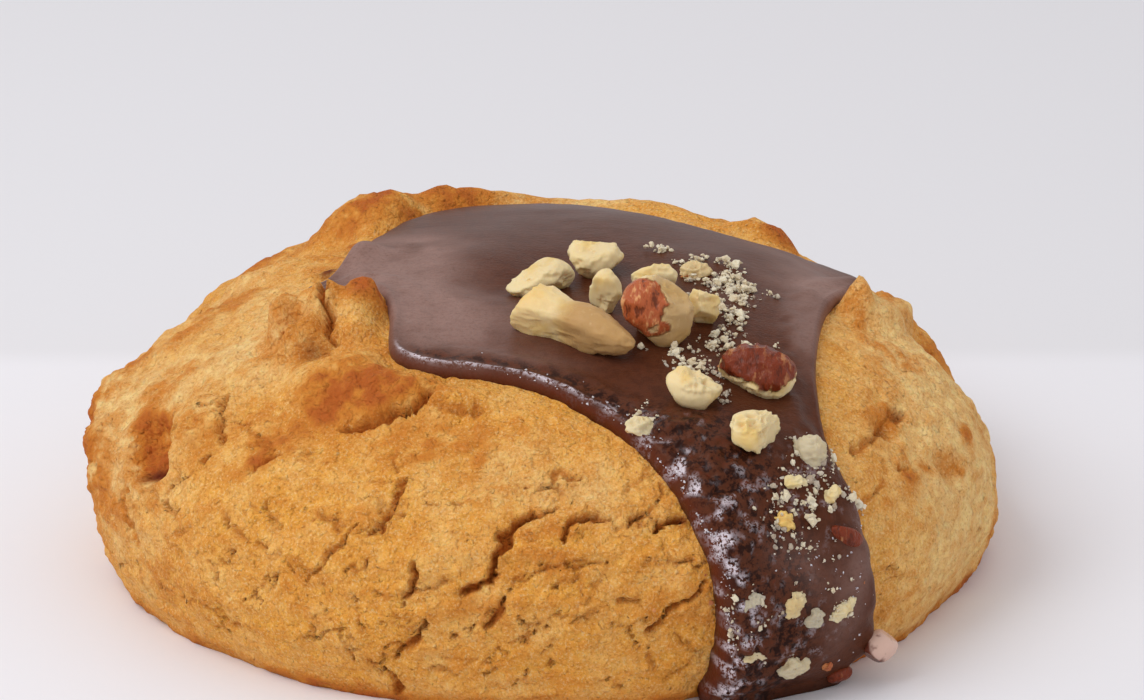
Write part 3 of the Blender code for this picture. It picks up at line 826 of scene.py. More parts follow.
@dataclass(frozen=True)
class Crust:
    """The baked surface: swells, lumps, pits and cracks on the dome, and its fine crumb."""

    dome: Dome
    outline: GlazeOutline
    dish_depth: float = 1.7
    dish_within: tuple[float, float] = (27.0, 38.0)
    # Height, size and seed of the broad bumps everywhere and of the small ones on the bare dough.
    bumps: tuple[tuple[float, float, int], ...] = ((0.5, 17.0, 1), (0.3, 7.0, 2))
    bare_bumps: tuple[float, float, int] = (0.22, 3.2, 3)
    # Swells and lumps: u, v, half size in u, half size in v, height and squareness.
    swells: tuple[tuple[float, ...], ...] = (
        # The flatter shoulders at the upper left and at the right.
        (-38.0, 11.0, 12.0, 9.0, -3.0, 2.0),
        (-24.0, 16.5, 6.0, 7.0, -1.6, 2.5),
        (42.0, 6.0, 8.0, 9.0, -3.4, 2.0),
        (39.0, 3.0, 4.0, 7.0, -1.1, 2.5),
        (46.0, -7.0, 6.0, 8.0, -0.8, 2.0),
        (28.0, 7.0, 5.0, 5.0, -0.8, 2.0),
        (28.5, 20.0, 5.0, 7.0, -2.0, 2.0),
        (37.0, 16.8, 4.5, 3.6, -1.1, 2.0),
        (51.0, -25.0, 9.0, 9.0, -0.9, 2.0),
        # The hollow in the top, where the hazelnuts lie.
        (2.0, -3.0, 9.0, 7.0, -0.8, 2.0),
    )
    lumps: tuple[tuple[float, ...], ...] = (
        # The crumbly blocks that bound the glaze at the left, and the brown ledge in front.
        (-22.9, -12.2, 1.7, 2.4, 2.9, 4.0),
        (-19.9, -12.9, 1.5, 2.4, 3.1, 4.0),
        (-21.3, -16.4, 2.2, 1.5, 2.2, 3.0),
        (-16.6, -12.8, 2.6, 4.2, 2.8, 5.0),
        (-19.0, -22.0, 3.8, 3.0, 1.9, 3.0),
        (-14.0, -25.5, 3.6, 2.6, 1.7, 3.0),
        (-8.0, -27.0, 4.0, 2.2, 1.2, 3.0),
        # The square pit at the left, its dark bottom and the block beside it.
        (-37.0, -19.5, 2.4, 3.6, -2.2, 5.0),
        (-37.0, -22.5, 1.2, 1.4, -1.0, 3.0),
        (-31.5, -21.5, 3.0, 3.6, 1.3, 4.0),
        # The knobbly left edge and the ridge above it.
        (-43.5, -3.0, 3.6, 4.0, 1.0, 2.5),
        (-44.5, -11.0, 3.4, 3.4, 0.9, 2.5),
        (-36.0, 4.0, 5.0, 4.0, 0.4, 2.5),
        (-26.5, 10.0, 5.0, 4.0, 1.5, 3.0),
        (-20.0, 1.0, 1.0, 0.8, -1.4, 2.0),
        # The rim behind the glaze, from left to right.
        (-16.2, 23.0, 5.0, 3.6, 2.6, 3.0),
        (-9.0, 27.5, 6.0, 3.0, 2.3, 3.0),
        (-1.0, 28.5, 4.0, 2.6, 0.6, 3.0),
        (6.5, 26.5, 5.0, 3.0, 0.7, 3.0),
        (11.5, 24.6, 4.0, 3.2, 0.8, 3.0),
        (21.0, 18.5, 3.6, 3.2, 1.5, 4.0),
        # The lobe to the right of the glaze.
        (28.8, -2.6, 3.4, 3.2, 2.3, 5.0),
        (32.4, 1.4, 1.9, 2.6, 2.2, 4.0),
        (35.0, -9.0, 6.0, 6.0, 0.8, 2.0),
        (38.5, -21.5, 1.8, 1.2, -1.0, 2.5),
        (30.5, -21.8, 1.2, 0.9, -1.5, 2.5),
        # Lumps and pits of the back.
        (-30.0, 27.0, 4.2, 3.6, 0.4, 3.0),
        (-20.0, 38.0, 5.0, 3.4, 1.5, 3.5),
        (-4.0, 41.0, 4.2, 3.0, -1.3, 3.0),
        (9.0, 36.0, 5.0, 3.6, 1.6, 3.0),
        (17.0, 40.0, 4.6, 4.0, 1.5, 3.5),
        (36.0, 20.0, 3.4, 3.0, -1.4, 3.0),
    )
    # Cracks and creases: depth, half width, and the places (u, v) that each passes.
    cracks: tuple[tuple[float, float, tuple[Place, ...]], ...] = (
        # The wide fissure in the middle of the front.
        (1.5, 0.55, ((-1.5, -40.0), (-4.1, -41.4), (-3.8, -42.6), (-5.0, -43.6), (-4.9, -45.2))),
        (1.1, 0.45, ((-4.9, -45.2), (-5.7, -46.1), (-8.0, -46.8))),
        (0.7, 0.35, ((0.3, -38.9), (-0.4, -39.6), (-1.5, -40.0))),
        # The long crack at its upper left, and the one that carries it on.
        (0.9, 0.32, ((-12.2, -35.2), (-13.1, -37.2), (-14.0, -38.7), (-15.6, -40.2))),
        (0.6, 0.28, ((-17.3, -39.2), (-18.9, -40.0), (-20.9, -40.5), (-23.0, -41.4))),
        # Short deep cracks low in the front.
        (1.1, 0.55, ((-12.1, -43.9), (-12.0, -44.8), (-13.1, -45.8), (-13.7, -46.4))),
        (1.0, 0.42, ((-3.9, -47.5), (-4.4, -48.5), (-5.7, -49.4), (-6.5, -50.0))),
        (1.0, 0.42, ((-12.3, -48.7), (-13.8, -50.2), (-15.5, -50.7))),
        (1.0, 0.60, ((-17.7, -51.9), (-17.3, -54.1), (-18.2, -54.6))),
        # Cracks between the fissure and the glaze.
        (1.0, 0.40, ((1.4, -42.0), (1.5, -41.2), (2.1, -40.6), (3.2, -40.3), (5.1, -40.3))),
        (0.9, 0.42, ((6.9, -40.5), (7.7, -40.2), (8.8, -39.9))),
        (1.3, 0.40, ((9.6, -41.1), (10.2, -40.2), (11.0, -40.0), (12.0, -39.6))),
        (0.6, 0.26, ((5.6, -44.1), (3.1, -44.3), (1.9, -44.7), (-0.3, -45.2))),
        (0.6, 0.28, ((13.3, -42.7), (12.4, -43.3), (11.0, -43.9))),
        (0.9, 0.32, ((14.8, -44.6), (13.8, -45.9), (12.1, -47.2), (11.4, -48.4), (11.1, -49.5))),
        (1.3, 0.50, ((11.3, -49.0), (11.0, -49.7))),
        (0.5, 0.26, ((4.3, -48.4), (2.9, -49.1), (1.6, -48.9), (-0.5, -49.7))),
        (0.5, 0.24, ((6.4, -49.9), (8.5, -49.8), (9.6, -51.5))),
        (0.5, 0.24, ((11.2, -52.2), (11.4, -53.3))),
        (0.5, 0.26, ((-26.2, -46.4), (-24.7, -46.8), (-22.2, -46.9), (-20.1, -47.9))),
        (0.3, 0.22, ((-11.1, -52.1), (-9.0, -52.7), (-6.4, -53.3))),
        (0.3, 0.20, ((-11.0, -38.0), (-8.4, -38.2), (-6.3, -38.2))),
        (0.4, 0.22, ((-13.4, -32.3), (-13.1, -34.2))),
        (0.7, 0.35, ((-26.6, -30.2), (-24.2, -29.2))),
        # Single holes.
        (0.8, 0.35, ((-16.0, -51.3), (-16.2, -51.5))),
        (0.7, 0.35, ((-9.4, -50.1), (-9.6, -50.3))),
        (0.7, 0.30, ((-6.3, -54.2), (-6.5, -54.4))),
        (0.6, 0.30, ((0.2, -53.7), (0.4, -53.9))),
        (0.7, 0.30, ((-7.5, -49.8), (-7.9, -50.2))),
        (0.8, 0.30, ((-30.8, -26.3), (-31.0, -26.6))),
        (0.7, 0.35, ((-24.2, -29.3), (-23.6, -29.5))),
        # The crease under the brown ledge, and the edges of the blocks at the left.
        (1.2, 0.50, ((-9.7, -26.6), (-10.9, -27.7), (-14.2, -28.3), (-15.4, -28.6), (-17.5, -28.3))),
        (0.6, 0.50, ((-9.0, -28.0), (-7.4, -28.3), (-5.7, -28.4))),
        (0.8, 0.35, ((-28.5, -19.4), (-28.8, -22.0), (-29.5, -25.2))),
        (1.7, 0.50, ((-18.9, -9.5), (-18.9, -13.0), (-18.6, -17.0))),
        # The crease across the right lobe.
        (0.9, 0.60, ((32.3, -18.8), (31.5, -20.3))),
        (0.6, 0.45, ((30.6, -21.8), (29.5, -23.9), (27.3, -27.3))),
        # Cracks of the back.
        (1.0, 0.60, ((34.5, 30.5), (30.0, 35.0), (22.0, 40.0), (18.0, 45.0))),
        (1.0, 0.60, ((-33.0, 30.0), (-36.0, 33.0), (-37.0, 38.0))),
        (0.9, 0.50, ((-2.0, 34.0), (-7.0, 36.0), (-11.0, 43.0))),
    )
    # The hairline cracks: the side on which three in five of them lie and how far they spread from
    # it in degrees, their places down the skin, their own lengths, their slope, depth and half width.
    hairline_count: int = 150
    hairline_side: float = -105.0
    hairline_spread: float = 48.0
    hairline_places: tuple[float, float] = (36.0, 55.5)
    hairline_lengths: tuple[float, float] = (1.2, 4.2)
    hairline_slope: float = 28.0
    hairline_depths: tuple[float, float] = (0.2, 0.55)
    hairline_widths: tuple[float, float] = (0.18, 0.32)
    # How far a crack's path strays with the drift and with coarse and fine noise, how much its
    # width varies, and where its side rises and its lip lies, in half widths from its middle.
    crack_drift: float = 0.35
    crack_strays: tuple[tuple[float, float, int], ...] = ((0.36, 1.5, 21), (0.30, 0.6, 23))
    crack_narrowing: float = 0.92
    crack_variation: float = 0.60
    crack_narrowest: float = 0.60
    crack_filling: float = 0.95
    crack_side: tuple[float, float] = (0.30, 1.05)
    crack_lip: tuple[float, float] = (1.5, 0.5)
    lip_height: float = 0.14
    # How far the surface lies lower for its grain, everywhere and more at the widest places.
    grain_allowance: float = 0.12
    edge_allowance: float = 0.62
    edge_from: tuple[float, float] = (39.6, 41.3)
    fine_bumps: tuple[tuple[float, float, int], ...] = ((0.10, 1.4, 81), (0.10, 0.8, 82))
    patch_size: float = 9.0
    patch_strength: float = 0.30
    ripple_size: float = 1.6
    ripple_height: float = 0.14
    ripple_squeeze: tuple[float, float, float] = (0.4, 0.4, 2.0)
    # Size and seed of the lumps, crumbs and fine crumbs of the grain, and the height of each on
    # crumbly ground, everywhere, and beside cracks.
    crumb_kinds: tuple[tuple[float, int], ...] = ((2.6, 51), (1.4, 61), (0.8, 71))
    crumbly_heights: tuple[float, float, float] = (0.55, 0.42, 0.24)
    plain_heights: tuple[float, float, float] = (0.0, 0.26, 0.08)
    broken_heights: tuple[float, float, float] = (0.0, 0.0, 0.70)
    # Crumbly ground, where rounded crumbs stand out: u, v, half sizes, strength, squareness.
    crumbly: tuple[tuple[float, ...], ...] = (
        (-21.0, -14.0, 5.0, 5.0, 1.2, 3.0),
        (-14.5, -24.5, 8.0, 3.5, 0.8, 3.0),
        (-44.0, -9.0, 4.5, 12.0, 1.2, 3.0),
        (-33.0, -21.0, 6.0, 6.0, 0.6, 3.0),
        (-13.0, 25.0, 10.0, 4.0, 1.2, 3.0),
        (20.0, 20.0, 6.0, 4.0, 0.8, 3.0),
        (31.0, 4.0, 6.0, 6.0, 0.7, 3.0),
        (-30.0, 8.0, 9.0, 6.0, 0.5, 3.0),
        (0.0, -44.0, 9.0, 5.0, 0.30, 3.0),
        (9.0, -47.0, 6.0, 6.0, 0.35, 3.0),
        (9.0, 38.0, 14.0, 6.0, 0.7, 3.0),
        (-25.0, 33.0, 9.0, 8.0, 0.6, 3.0),
        (40.0, 15.0, 6.0, 9.0, 0.6, 3.0),
    )
    # The blocks that stand close against the glaze, and the small knobs on them.
    standing: tuple[tuple[float, ...], ...] = (
        (-19.9, -12.9, 1.5, 2.4, 3.1, 4.0),
        (-16.6, -12.8, 2.6, 4.2, 2.8, 5.0),
        (28.8, -2.6, 3.4, 3.2, 2.3, 5.0),
    )
    knobs: tuple[tuple[float, ...], ...] = (
        (-22.9, -12.6, 1.5, 1.6, 0.8, 3.0),
        (-20.2, -12.0, 1.5, 1.5, 0.7, 3.0),
        (-21.4, -15.6, 1.8, 1.2, 0.6, 3.0),
        (-16.9, -11.8, 1.8, 2.4, 0.5, 4.0),
        (27.5, -4.0, 1.7, 2.3, 1.3, 4.0),
    )

    def form(self, flat: Array, points: Array, drift: Array, depth: Array) -> Array:
        """Height of the solid's own surface above the dome, without its cracks.

        It is broad and small bumps of noise, plus each swell and lump as an oval of its height.
        The glaze lies in a shallow dish of smooth dough on top.

        Args:
            flat: places (n, 2) on the skin.
            points: the dome's points (n, 3) there.
            drift: wandering (n, 2) that makes outlines uneven.
            depth: distance (n,) inside the glaze's edge.

        Returns:
            The heights (n,).
        """
        bare = 1 - smooth_step(depth, -0.5, 1.5)
        on_top = 1 - smooth_step(np.hypot(flat[:, 0], flat[:, 1]), *self.dish_within)
        behind = 3.5 * smooth_step(flat[:, 1], 3.0, 10.0)
        height = bumpy(points, self.bumps)
        height -= self.dish_depth * on_top * smooth_step(depth + behind, 0.0, 4.5)
        height += bare * bumpy(points, (self.bare_bumps,))
        moved = flat + 0.9 * drift
        crust = 1 - smooth_step(depth, -1.8, -0.4)
        return height + spots(moved, self.swells) + crust * spots(moved, self.lumps)

    def drift(self, points: Array) -> Array:
        """Wandering (n, 2) of the outlines of lumps and cracks."""
        return wandering(points, 3.6, 11)

    def crack_depth(self, flat: Array, points: Array, drift: Array) -> Array:
        """Depth of the cracks, whose steep sides wander and crumble, less their raised lips.

        Each is depth * (1 - step(gap / half width)), on a path moved by two sizes of noise, and
        with a width that noise swells and pinches. A low ridge of crumbs runs along both sides.
        """
        moved = flat + self.crack_drift * drift
        for reach, size, seed in self.crack_strays:
            moved += reach * wandering(points, size, seed)
        width = self.crack_narrowing * np.clip(
            1 + self.crack_variation * noise(points, 1.5, 25), self.crack_narrowest, None
        )
        deepest = np.zeros(len(flat))
        lips = np.zeros(len(flat))
        for deep, half_width, corners in self.cracks + self.hairlines:
            near = np.flatnonzero(self.near(flat, np.asarray(corners)))
            gap = distance_to_path(moved[near], np.asarray(corners)) / (half_width * width[near])
            hollow = self.crack_filling * deep * (1 - smooth_step(gap, *self.crack_side))
            deepest[near] = np.maximum(deepest[near], hollow)
            lips[near] = np.maximum(lips[near], min(deep, 1.0) * bell(gap, *self.crack_lip))
        return deepest - self.lip_height * lips * smooth_step(noise(points, 0.6, 26), -0.3, 0.5)

    @staticmethod
    def near(flat: Array, corners: Array, reach: float = 3.0) -> Array:
        """Whether each place lies within reach of the box round the corners."""
        above = np.all(flat > corners.min(axis=0) - reach, axis=1)
        return above & np.all(flat < corners.max(axis=0) + reach, axis=1)

    @cached_property
    def hairlines(self) -> tuple[tuple[float, float, Array], ...]:
        """Short fine cracks low on the sides, mostly level, most of them in front."""
        random = np.random.default_rng(31)
        made = []
        for number in range(self.hairline_count):
            middle = self.hairline_side if number % 5 < 3 else random.uniform(-180, 180)
            turn = math.radians(middle + random.uniform(-self.hairline_spread, self.hairline_spread))
            length = random.uniform(*self.hairline_places)
            slope = math.radians(random.normal(0, self.hairline_slope))
            steps = np.linspace(-0.5, 0.5, 4) * random.uniform(*self.hairline_lengths)
            across = steps * math.cos(slope) + random.normal(0, 0.15, 4)
            down = steps * math.sin(slope) + random.normal(0, 0.30, 4)
            path = polar(length + down, turn + across / length)
            deep = random.uniform(*self.hairline_depths)
            made.append((deep, random.uniform(*self.hairline_widths), path))
        return tuple(made)

    def grain(self, flat: Array, points: Array, drift: Array, cracks: Array) -> Array:
        """Height of the crumb: noise, level ripples low on the sides, and crumbs of three kinds.

        Args:
            flat: places (n, 2) on the skin.
            points: the dome's points (n, 3) there.
            drift: wandering (n, 2) of the outlines.
            cracks: depth (n,) of the cracks, whose edges are more broken.

        Returns:
            The heights (n,).
        """
        crumbs = np.stack([nodules(points, size, seed) - 0.5 for size, seed in self.crumb_kinds])
        patch = self.patch_strength * smooth_step(noise(points, self.patch_size, 51), 0.15, 0.6)
        crumbly = np.maximum(np.clip(spots(flat + 0.8 * drift, self.crumbly), 0, 1.3), patch)
        broken = smooth_step(np.abs(cracks), 0.01, 0.3)
        low = smooth_step(np.hypot(flat[:, 0], flat[:, 1]), 34.0, 42.0)
        ripples = noise(points * np.array(self.ripple_squeeze), self.ripple_size, 83)
        height = bumpy(points, self.fine_bumps)
        height += self.ripple_height * low * ripples + crumbly * (self.crumbly_heights @ crumbs)
        return height + self.plain_heights @ crumbs + broken * (self.broken_heights @ crumbs)

    def blocks(self, flat: Array, drift: Array, depth: Array) -> Array:
        """Height that lets the blocks stand closer to the glaze than the solid's, and their knobs."""
        moved = flat + 0.9 * drift
        close = smooth_step(depth, -1.8, -0.4) - smooth_step(depth, -0.7, 0.1)
        clear = 1 - smooth_step(depth, -0.9, -0.1)
        return close * spots(moved, self.standing) + clear * spots(moved, self.knobs)

    def relief(self, flat: Array) -> tuple[Array, dict[str, Array]]:
        """Height of the crust above the dome with its fine crumb, and what the finish reads.

        Args:
            flat: places (n, 2) on the skin.

        Returns:
            The heights (n,), and the values (n,) of browning, of the painted shade in holes and in
            cracks, and of a pale tone that is partly painted light.
        """
        points, _ = self.dome.skin(flat)
        drift = self.drift(points)
        depth = self.outline.depth(flat)
        bare = 1 - smooth_step(depth, -0.2, 0.8)
        cracks = self.crack_depth(flat, points, drift)
        grain = self.grain(flat, points, drift, cracks)
        outermost = np.maximum(np.abs(points[:, 0] - 0.75) - 0.75, np.abs(points[:, 1]))
        allowance = self.grain_allowance
        allowance += self.edge_allowance * smooth_step(outermost, *self.edge_from)
        height = self.form(flat, points, drift, depth) + self.blocks(flat, drift, depth)
        height += bare * (grain - allowance - cracks)
        marks = self.tones(flat, points, drift, grain)
        # Painted shade in the cracks, with their own brown: the deeper the crack, the darker.
        marks["crack_tone_and_shade"] = bare * np.clip(0.95 * cracks, 0, 1)
        return height, marks

    # Browned spots; dark spots painted into holes and gaps as shade on a burnt tone; and pale spots,
    # partly painted light on the sides and the back rim; in rows like the lumps.
    browned: tuple[tuple[float, ...], ...] = (
        # Blocks and ledge beside the glaze.
        (-21.3, -15.0, 3.6, 3.8, 0.22, 3.0),
        (-15.6, -11.5, 2.4, 2.4, 0.55, 3.0),
        (-17.5, -24.3, 3.8, 2.6, 1.00, 3.0),
        (-12.5, -25.8, 3.4, 1.8, 1.00, 3.0),
        # Left edge, pit and the ridge above.
        (-37.2, -18.5, 2.6, 4.2, 1.00, 4.0),
        (-45.0, -5.0, 3.0, 4.0, 0.60, 2.0),
        (-45.3, -12.0, 2.6, 3.5, 0.50, 2.0),
        (-45.0, -17.0, 3.0, 4.0, 0.35, 2.0),
        (-37.0, -1.5, 6.0, 2.2, 0.50, 2.0),
        (-29.5, 3.0, 4.0, 2.6, 0.40, 2.0),
        (-31.0, -24.0, 2.4, 2.0, 0.35, 2.0),
        # Rim behind the glaze.
        (-18.3, 21.0, 4.0, 3.0, 0.65, 2.0),
        (-14.0, 23.0, 4.0, 3.0, 0.55, 2.0),
        (-8.0, 26.5, 4.5, 2.5, 0.55, 2.0),
        (22.6, 17.0, 2.2, 2.0, 0.85, 2.5),
        (-17.8, 14.5, 1.3, 1.0, 0.90, 2.0),
        # Brown bands of the front.
        (-21.5, -27.5, 4.5, 2.0, 0.40, 2.0),
        (-12.0, -30.0, 5.0, 2.4, 0.35, 2.0),
        (-5.6, -32.5, 6.0, 2.0, 0.25, 2.0),
        (-26.3, -29.7, 1.6, 0.9, 0.75, 2.0),
        (-11.2, -33.2, 1.4, 0.5, 0.80, 2.0),
        # Right lobe.
        (30.0, 5.0, 4.0, 5.0, 0.40, 2.0),
        (27.6, -5.5, 1.8, 3.0, 0.20, 2.0),
        (31.3, -20.2, 1.6, 1.2, 0.35, 2.0),
        (29.3, -24.0, 1.8, 2.8, 0.45, 2.0),
        (39.3, -20.0, 2.0, 1.3, 0.40, 2.0),
        (39.5, -15.0, 1.6, 1.0, 0.60, 2.0),
        (33.4, -26.3, 1.2, 0.8, 0.60, 2.0),
        (36.1, -24.1, 1.2, 0.8, 0.55, 2.0),
        (54.8, -20.4, 1.5, 1.2, 0.95, 2.0),
        (56.2, -14.3, 1.5, 1.2, 0.95, 2.0),
        (54.8, -10.9, 1.5, 1.2, 0.80, 2.0),
        # Lumps of the back.
        (-30.0, 26.0, 4.0, 3.5, 0.60, 2.5),
        (-20.0, 38.0, 5.0, 3.5, 0.55, 2.5),
        (9.0, 36.0, 5.0, 3.5, 0.55, 2.5),
        (17.0, 40.0, 4.5, 4.0, 0.50, 2.5),
        (41.0, 10.0, 4.0, 4.2, 0.50, 2.5),
    )
    # Dark spots in the pit bottom, the hole above the left blocks, crack ends and gaps: painted shade of
    # these hollows, on a burnt tone.
    burnt_and_shaded_holes: tuple[tuple[float, ...], ...] = (
        (-38.3, -21.6, 0.9, 1.1, 0.95, 2.5),
        (-20.3, -18.0, 1.1, 0.7, 0.55, 2.0),
        (-20.0, 2.4, 0.8, 0.7, 1.00, 2.0),
        (55.0, -17.0, 0.9, 0.5, 0.45, 2.0),
        (12.0, -39.7, 0.6, 0.5, 0.80, 2.0),
    )
    # Pale spots: partly the crust's own lighter tone, partly painted light where the left side, the right
    # lobe and the back rim catch more light.
    paler_and_lit_spots: tuple[tuple[float, ...], ...] = (
        (-26.5, -13.0, 8.0, 7.0, 0.70, 2.0),
        (-24.0, -2.0, 7.0, 4.0, 0.40, 2.0),
        (3.0, 27.5, 8.0, 3.0, 0.60, 2.0),
        (0.0, -36.0, 10.0, 3.0, 0.30, 2.0),
        (34.0, -12.0, 5.0, 7.0, 0.30, 2.0),
        (4.0, -38.5, 6.0, 2.0, 0.25, 2.0),
        (-42.0, -12.0, 8.0, 14.0, 0.95, 2.0),
        (-31.0, 8.0, 7.0, 6.0, 0.70, 2.0),
        (-12.0, 27.0, 12.0, 3.5, 0.40, 2.0),
        (32.0, -2.0, 7.0, 9.0, 0.80, 2.0),
        (40.0, -10.0, 9.0, 10.0, 0.55, 2.0),
        (44.0, -24.0, 12.0, 14.0, 0.95, 2.0),
    )

    # How much the tops of the crumb, the rim of the base and clouds of the crust brown.
    top_browning: float = 0.25
    rim_browning: float = 0.85
    rim_width: float = 2.2
    cloud_browning: float = 0.22

    def tones(self, flat: Array, points: Array, drift: Array, grain: Array) -> dict[str, Array]:
        """How browned the crust is, how dark its holes and gaps are painted as shade on a burnt tone, and
        how pale it is, partly as painted light, apart from its cracks.

        Args:
            flat: places (n, 2) on the skin.
            points: the dome's points (n, 3) there.
            drift: wandering (n, 2) of the outlines.
            grain: height (n,) of the fine crumb, whose tops brown first.

        Returns:
            The values (n,) of browning, of the painted shade in holes and gaps, and of a pale tone that
            is partly painted light.
        """
        moved = flat + 0.8 * drift
        length = np.maximum(np.hypot(flat[:, 0], flat[:, 1]), 1.0)
        to_front = smooth_step(flat @ np.array((0.5, -0.87)) / length, 0.0, 0.7)
        foot = self.dome.skin_length
        base_rim = smooth_step(length, foot - self.rim_width, foot) * (0.3 + 0.7 * to_front)
        cloud = smooth_step(0.5 + 0.5 * noise(points, 5.0, 91), 0.45, 0.9)
        brown = spots(moved, self.browned) + self.cloud_browning * cloud
        brown += self.top_browning * np.clip(grain / 0.2, -0.5, 1) + self.rim_browning * base_rim
        return {
            "browning": np.clip(brown, 0, 1),
            "burn_and_hole_shade": np.clip(spots(flat + 0.4 * drift, self.burnt_and_shaded_holes), 0, 1),
            "paleness_and_light": np.clip(spots(moved, self.paler_and_lit_spots), 0, 1),
        }

    def lifted(self, flat: Array, height: Array) -> Array:
        """Points (n, 3) at heights above the dome; the foot stays flat on the table."""
        points, outward = self.dome.skin(flat)
        upward = smooth_step(points[:, 2], 0.0, 4.0)
        keep = np.stack((np.ones(len(flat)),) * 2 + (upward,), axis=1)
        return points + height[:, None] * outward * keep

    def bed(self, flat: Array, lift: Array) -> Array:
        """Points (n, 3) of the surface without its fine crumb, raised by lift (n,)."""
        points, _ = self.dome.skin(flat)
        drift = self.drift(points)
        return self.lifted(flat, self.form(flat, points, drift, self.outline.depth(flat)) + lift)


@dataclass(frozen=True)
class GlazeLayer:
    """Where the glaze's upper surface lies over the crust."""

    crust: Crust
    thickness: float = 1.5
    pool_thickness: float = 2.3
    stand_off: float = 0.65
    thin_lip: float = 1.15
    # Distances from the edge in which the stand-off and the lip rise, and the slope behind it.
    stand_width: float = 0.45
    lip_width: float = 0.75
    slope_from: tuple[float, float] = (0.9, 3.6)
    # Where the pool swells down the skin, and where the lip thickens from left to right.
    pool_from: tuple[float, float] = (44.0, 55.0)
    lip_from: tuple[float, float] = (-19.0, -13.0)
    drip_from: tuple[float, float] = (35.0, 44.0)

    def rise(self, flat: Array, depth: Array) -> Array:
        """Height of the surface above the dough, by the distance from the edge.

        On the drip it climbs at once from the dough to the solid's rim, then rounds over to full
        thickness: full * sqrt(1 - (1 - depth / lip)**2), and its foot swells into a pool. Along
        the front a thin rounded lip comes first, and a gentle slope leads up to full thickness.
        """
        length = np.hypot(flat[:, 0], flat[:, 1])
        pool = smooth_step(length, *self.pool_from)
        full = self.thickness + (self.pool_thickness - self.thickness) * pool
        share = np.clip(depth / (1.3 * full), 0, 1)
        step = np.sqrt(np.clip(depth / self.stand_width, 0, 1))
        thick = self.stand_off * step + full * np.sqrt(1 - (1 - share) ** 2)
        near = np.clip(depth / self.lip_width, 0, 1)
        edge = self.thin_lip * (0.45 + 0.55 * smooth_step(flat[:, 0], *self.lip_from))
        lip = edge * (0.4 * np.sqrt(near) + 0.6 * np.sqrt(1 - (1 - near) ** 2))
        slope = (self.stand_off + full - edge) * smooth_step(depth, *self.slope_from)
        behind = smooth_step(flat[:, 1], -2.0, 4.0)
        full_edge = np.maximum(smooth_step(length, *self.drip_from), behind)
        return lip + slope + full_edge * (thick - lip - slope)

    def top_at(self, flat: Array) -> tuple[Array, Array]:
        """Points (n, 3) of the surface that bits lie on at places (n, 2), and its directions."""
        step = 0.5
        shifts = ((0.0, 0.0), (step, 0.0), (0.0, step))
        on_drip = smooth_step(np.hypot(flat[:, 0], flat[:, 1]), *self.drip_from)
        deep = np.maximum(self.crust.outline.depth(flat), 1.2)
        deep += on_drip * (np.maximum(deep, 6.0) - deep)
        here, right, behind = (
            self.crust.bed(flat + np.array(shift), self.rise(flat + np.array(shift), deep))
            for shift in shifts
        )
        outward = np.cross(right - here, behind - here)
        return here, outward / np.linalg.norm(outward, axis=1)[:, None]


def spread(values: Array, density: Array, count: int) -> Array:
    """Count + 1 of the values, spaced so that more of them lie where density is higher."""
    total = np.cumsum(density)
    share = (total - total[0]) / (total[-1] - total[0])
    return np.interp(np.linspace(0, 1, count + 1), share, values)


@dataclass(frozen=True)
class DoughPiece:
    """The cookie's crust as one closed mesh: rings on its skin, rings of the base, two poles."""

    crust: Crust
    rows: int = 146
    columns: int = 620
    seam_turn: float = 60.0
    # Where the columns are closest, in degrees: the front and left, and then the right.
    front_from: tuple[float, float] = (-222.0, -195.0)
    front_to: tuple[float, float] = (-58.0, -38.0)
    right_to: tuple[float, float] = (10.0, 35.0)
    base_rings: tuple[float, ...] = (0.985, 0.94, 0.85, 0.68, 0.48, 0.25)
    base_dents: float = 0.25

    def turns(self) -> Array:
        """Angles of the columns in radians, closest on the cracked front and left."""
        turn = np.linspace(self.seam_turn - 360, self.seam_turn, 4000)
        past_front = smooth_step(turn, *self.front_to)
        front = smooth_step(turn, *self.front_from) * (1 - past_front)
        right = past_front * (1 - smooth_step(turn, *self.right_to))
        return np.radians(spread(turn, 0.6 + 3.0 * front + 1.4 * right, self.columns)[:-1])

    def lengths(self) -> Array:
        """Lengths of skin of the rows in millimetres, closest low on the sides."""
        length = np.linspace(0, self.crust.dome.skin_length, 2000)
        density = 0.15 + 0.50 * smooth_step(length, 12, 24) + 0.35 * smooth_step(length, 30, 36)
        return spread(length, density, self.rows)[1:]

    def base(self, rim: Array) -> Array:
        """Points of the base: rings inside the rim (n, 3) with small dents upwards."""
        points = np.concatenate([rim * share for share in self.base_rings])
        points[:, 2] = self.base_dents * np.clip(noise(points, 4.0, 95) + 0.2, 0, 1)
        return points

    def build(self, finish: DoughFinish) -> bpy.types.Object:
        """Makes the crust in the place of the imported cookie."""
        grid = np.meshgrid(self.lengths(), self.turns(), indexing="ij")
        flat = np.concatenate((polar(*(values.ravel() for values in grid)), np.zeros((1, 2))))
        height, marks = self.crust.relief(flat)
        points = self.crust.lifted(flat, height)
        top = points[-1:]
        sides = points[:-1]
        sides[-self.columns :, 2] = 0.0
        base = self.base(sides[-self.columns :])
        low = np.full(len(base), 0.75)
        marks = {
            name: np.concatenate((values[:-1], low * (name == "browning"), values[-1:], (0.5,)))
            for name, values in marks.items()
        }
        points = np.concatenate((sides, base, top, np.zeros((1, 3))))
        rings = self.rows + len(self.base_rings)
        faces = grid_quads(rings, self.columns, wrap=True)[:, ::-1].tolist()
        pole, middle = len(points) - 2, len(points) - 1
        last = rings * self.columns - 1
        faces += fan(pole, range(self.columns)) + fan(middle, range(last, last - self.columns, -1))
        piece = make_piece("cookie_crust", points, faces, finish.material(), marks)
        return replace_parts(piece, "cookie")


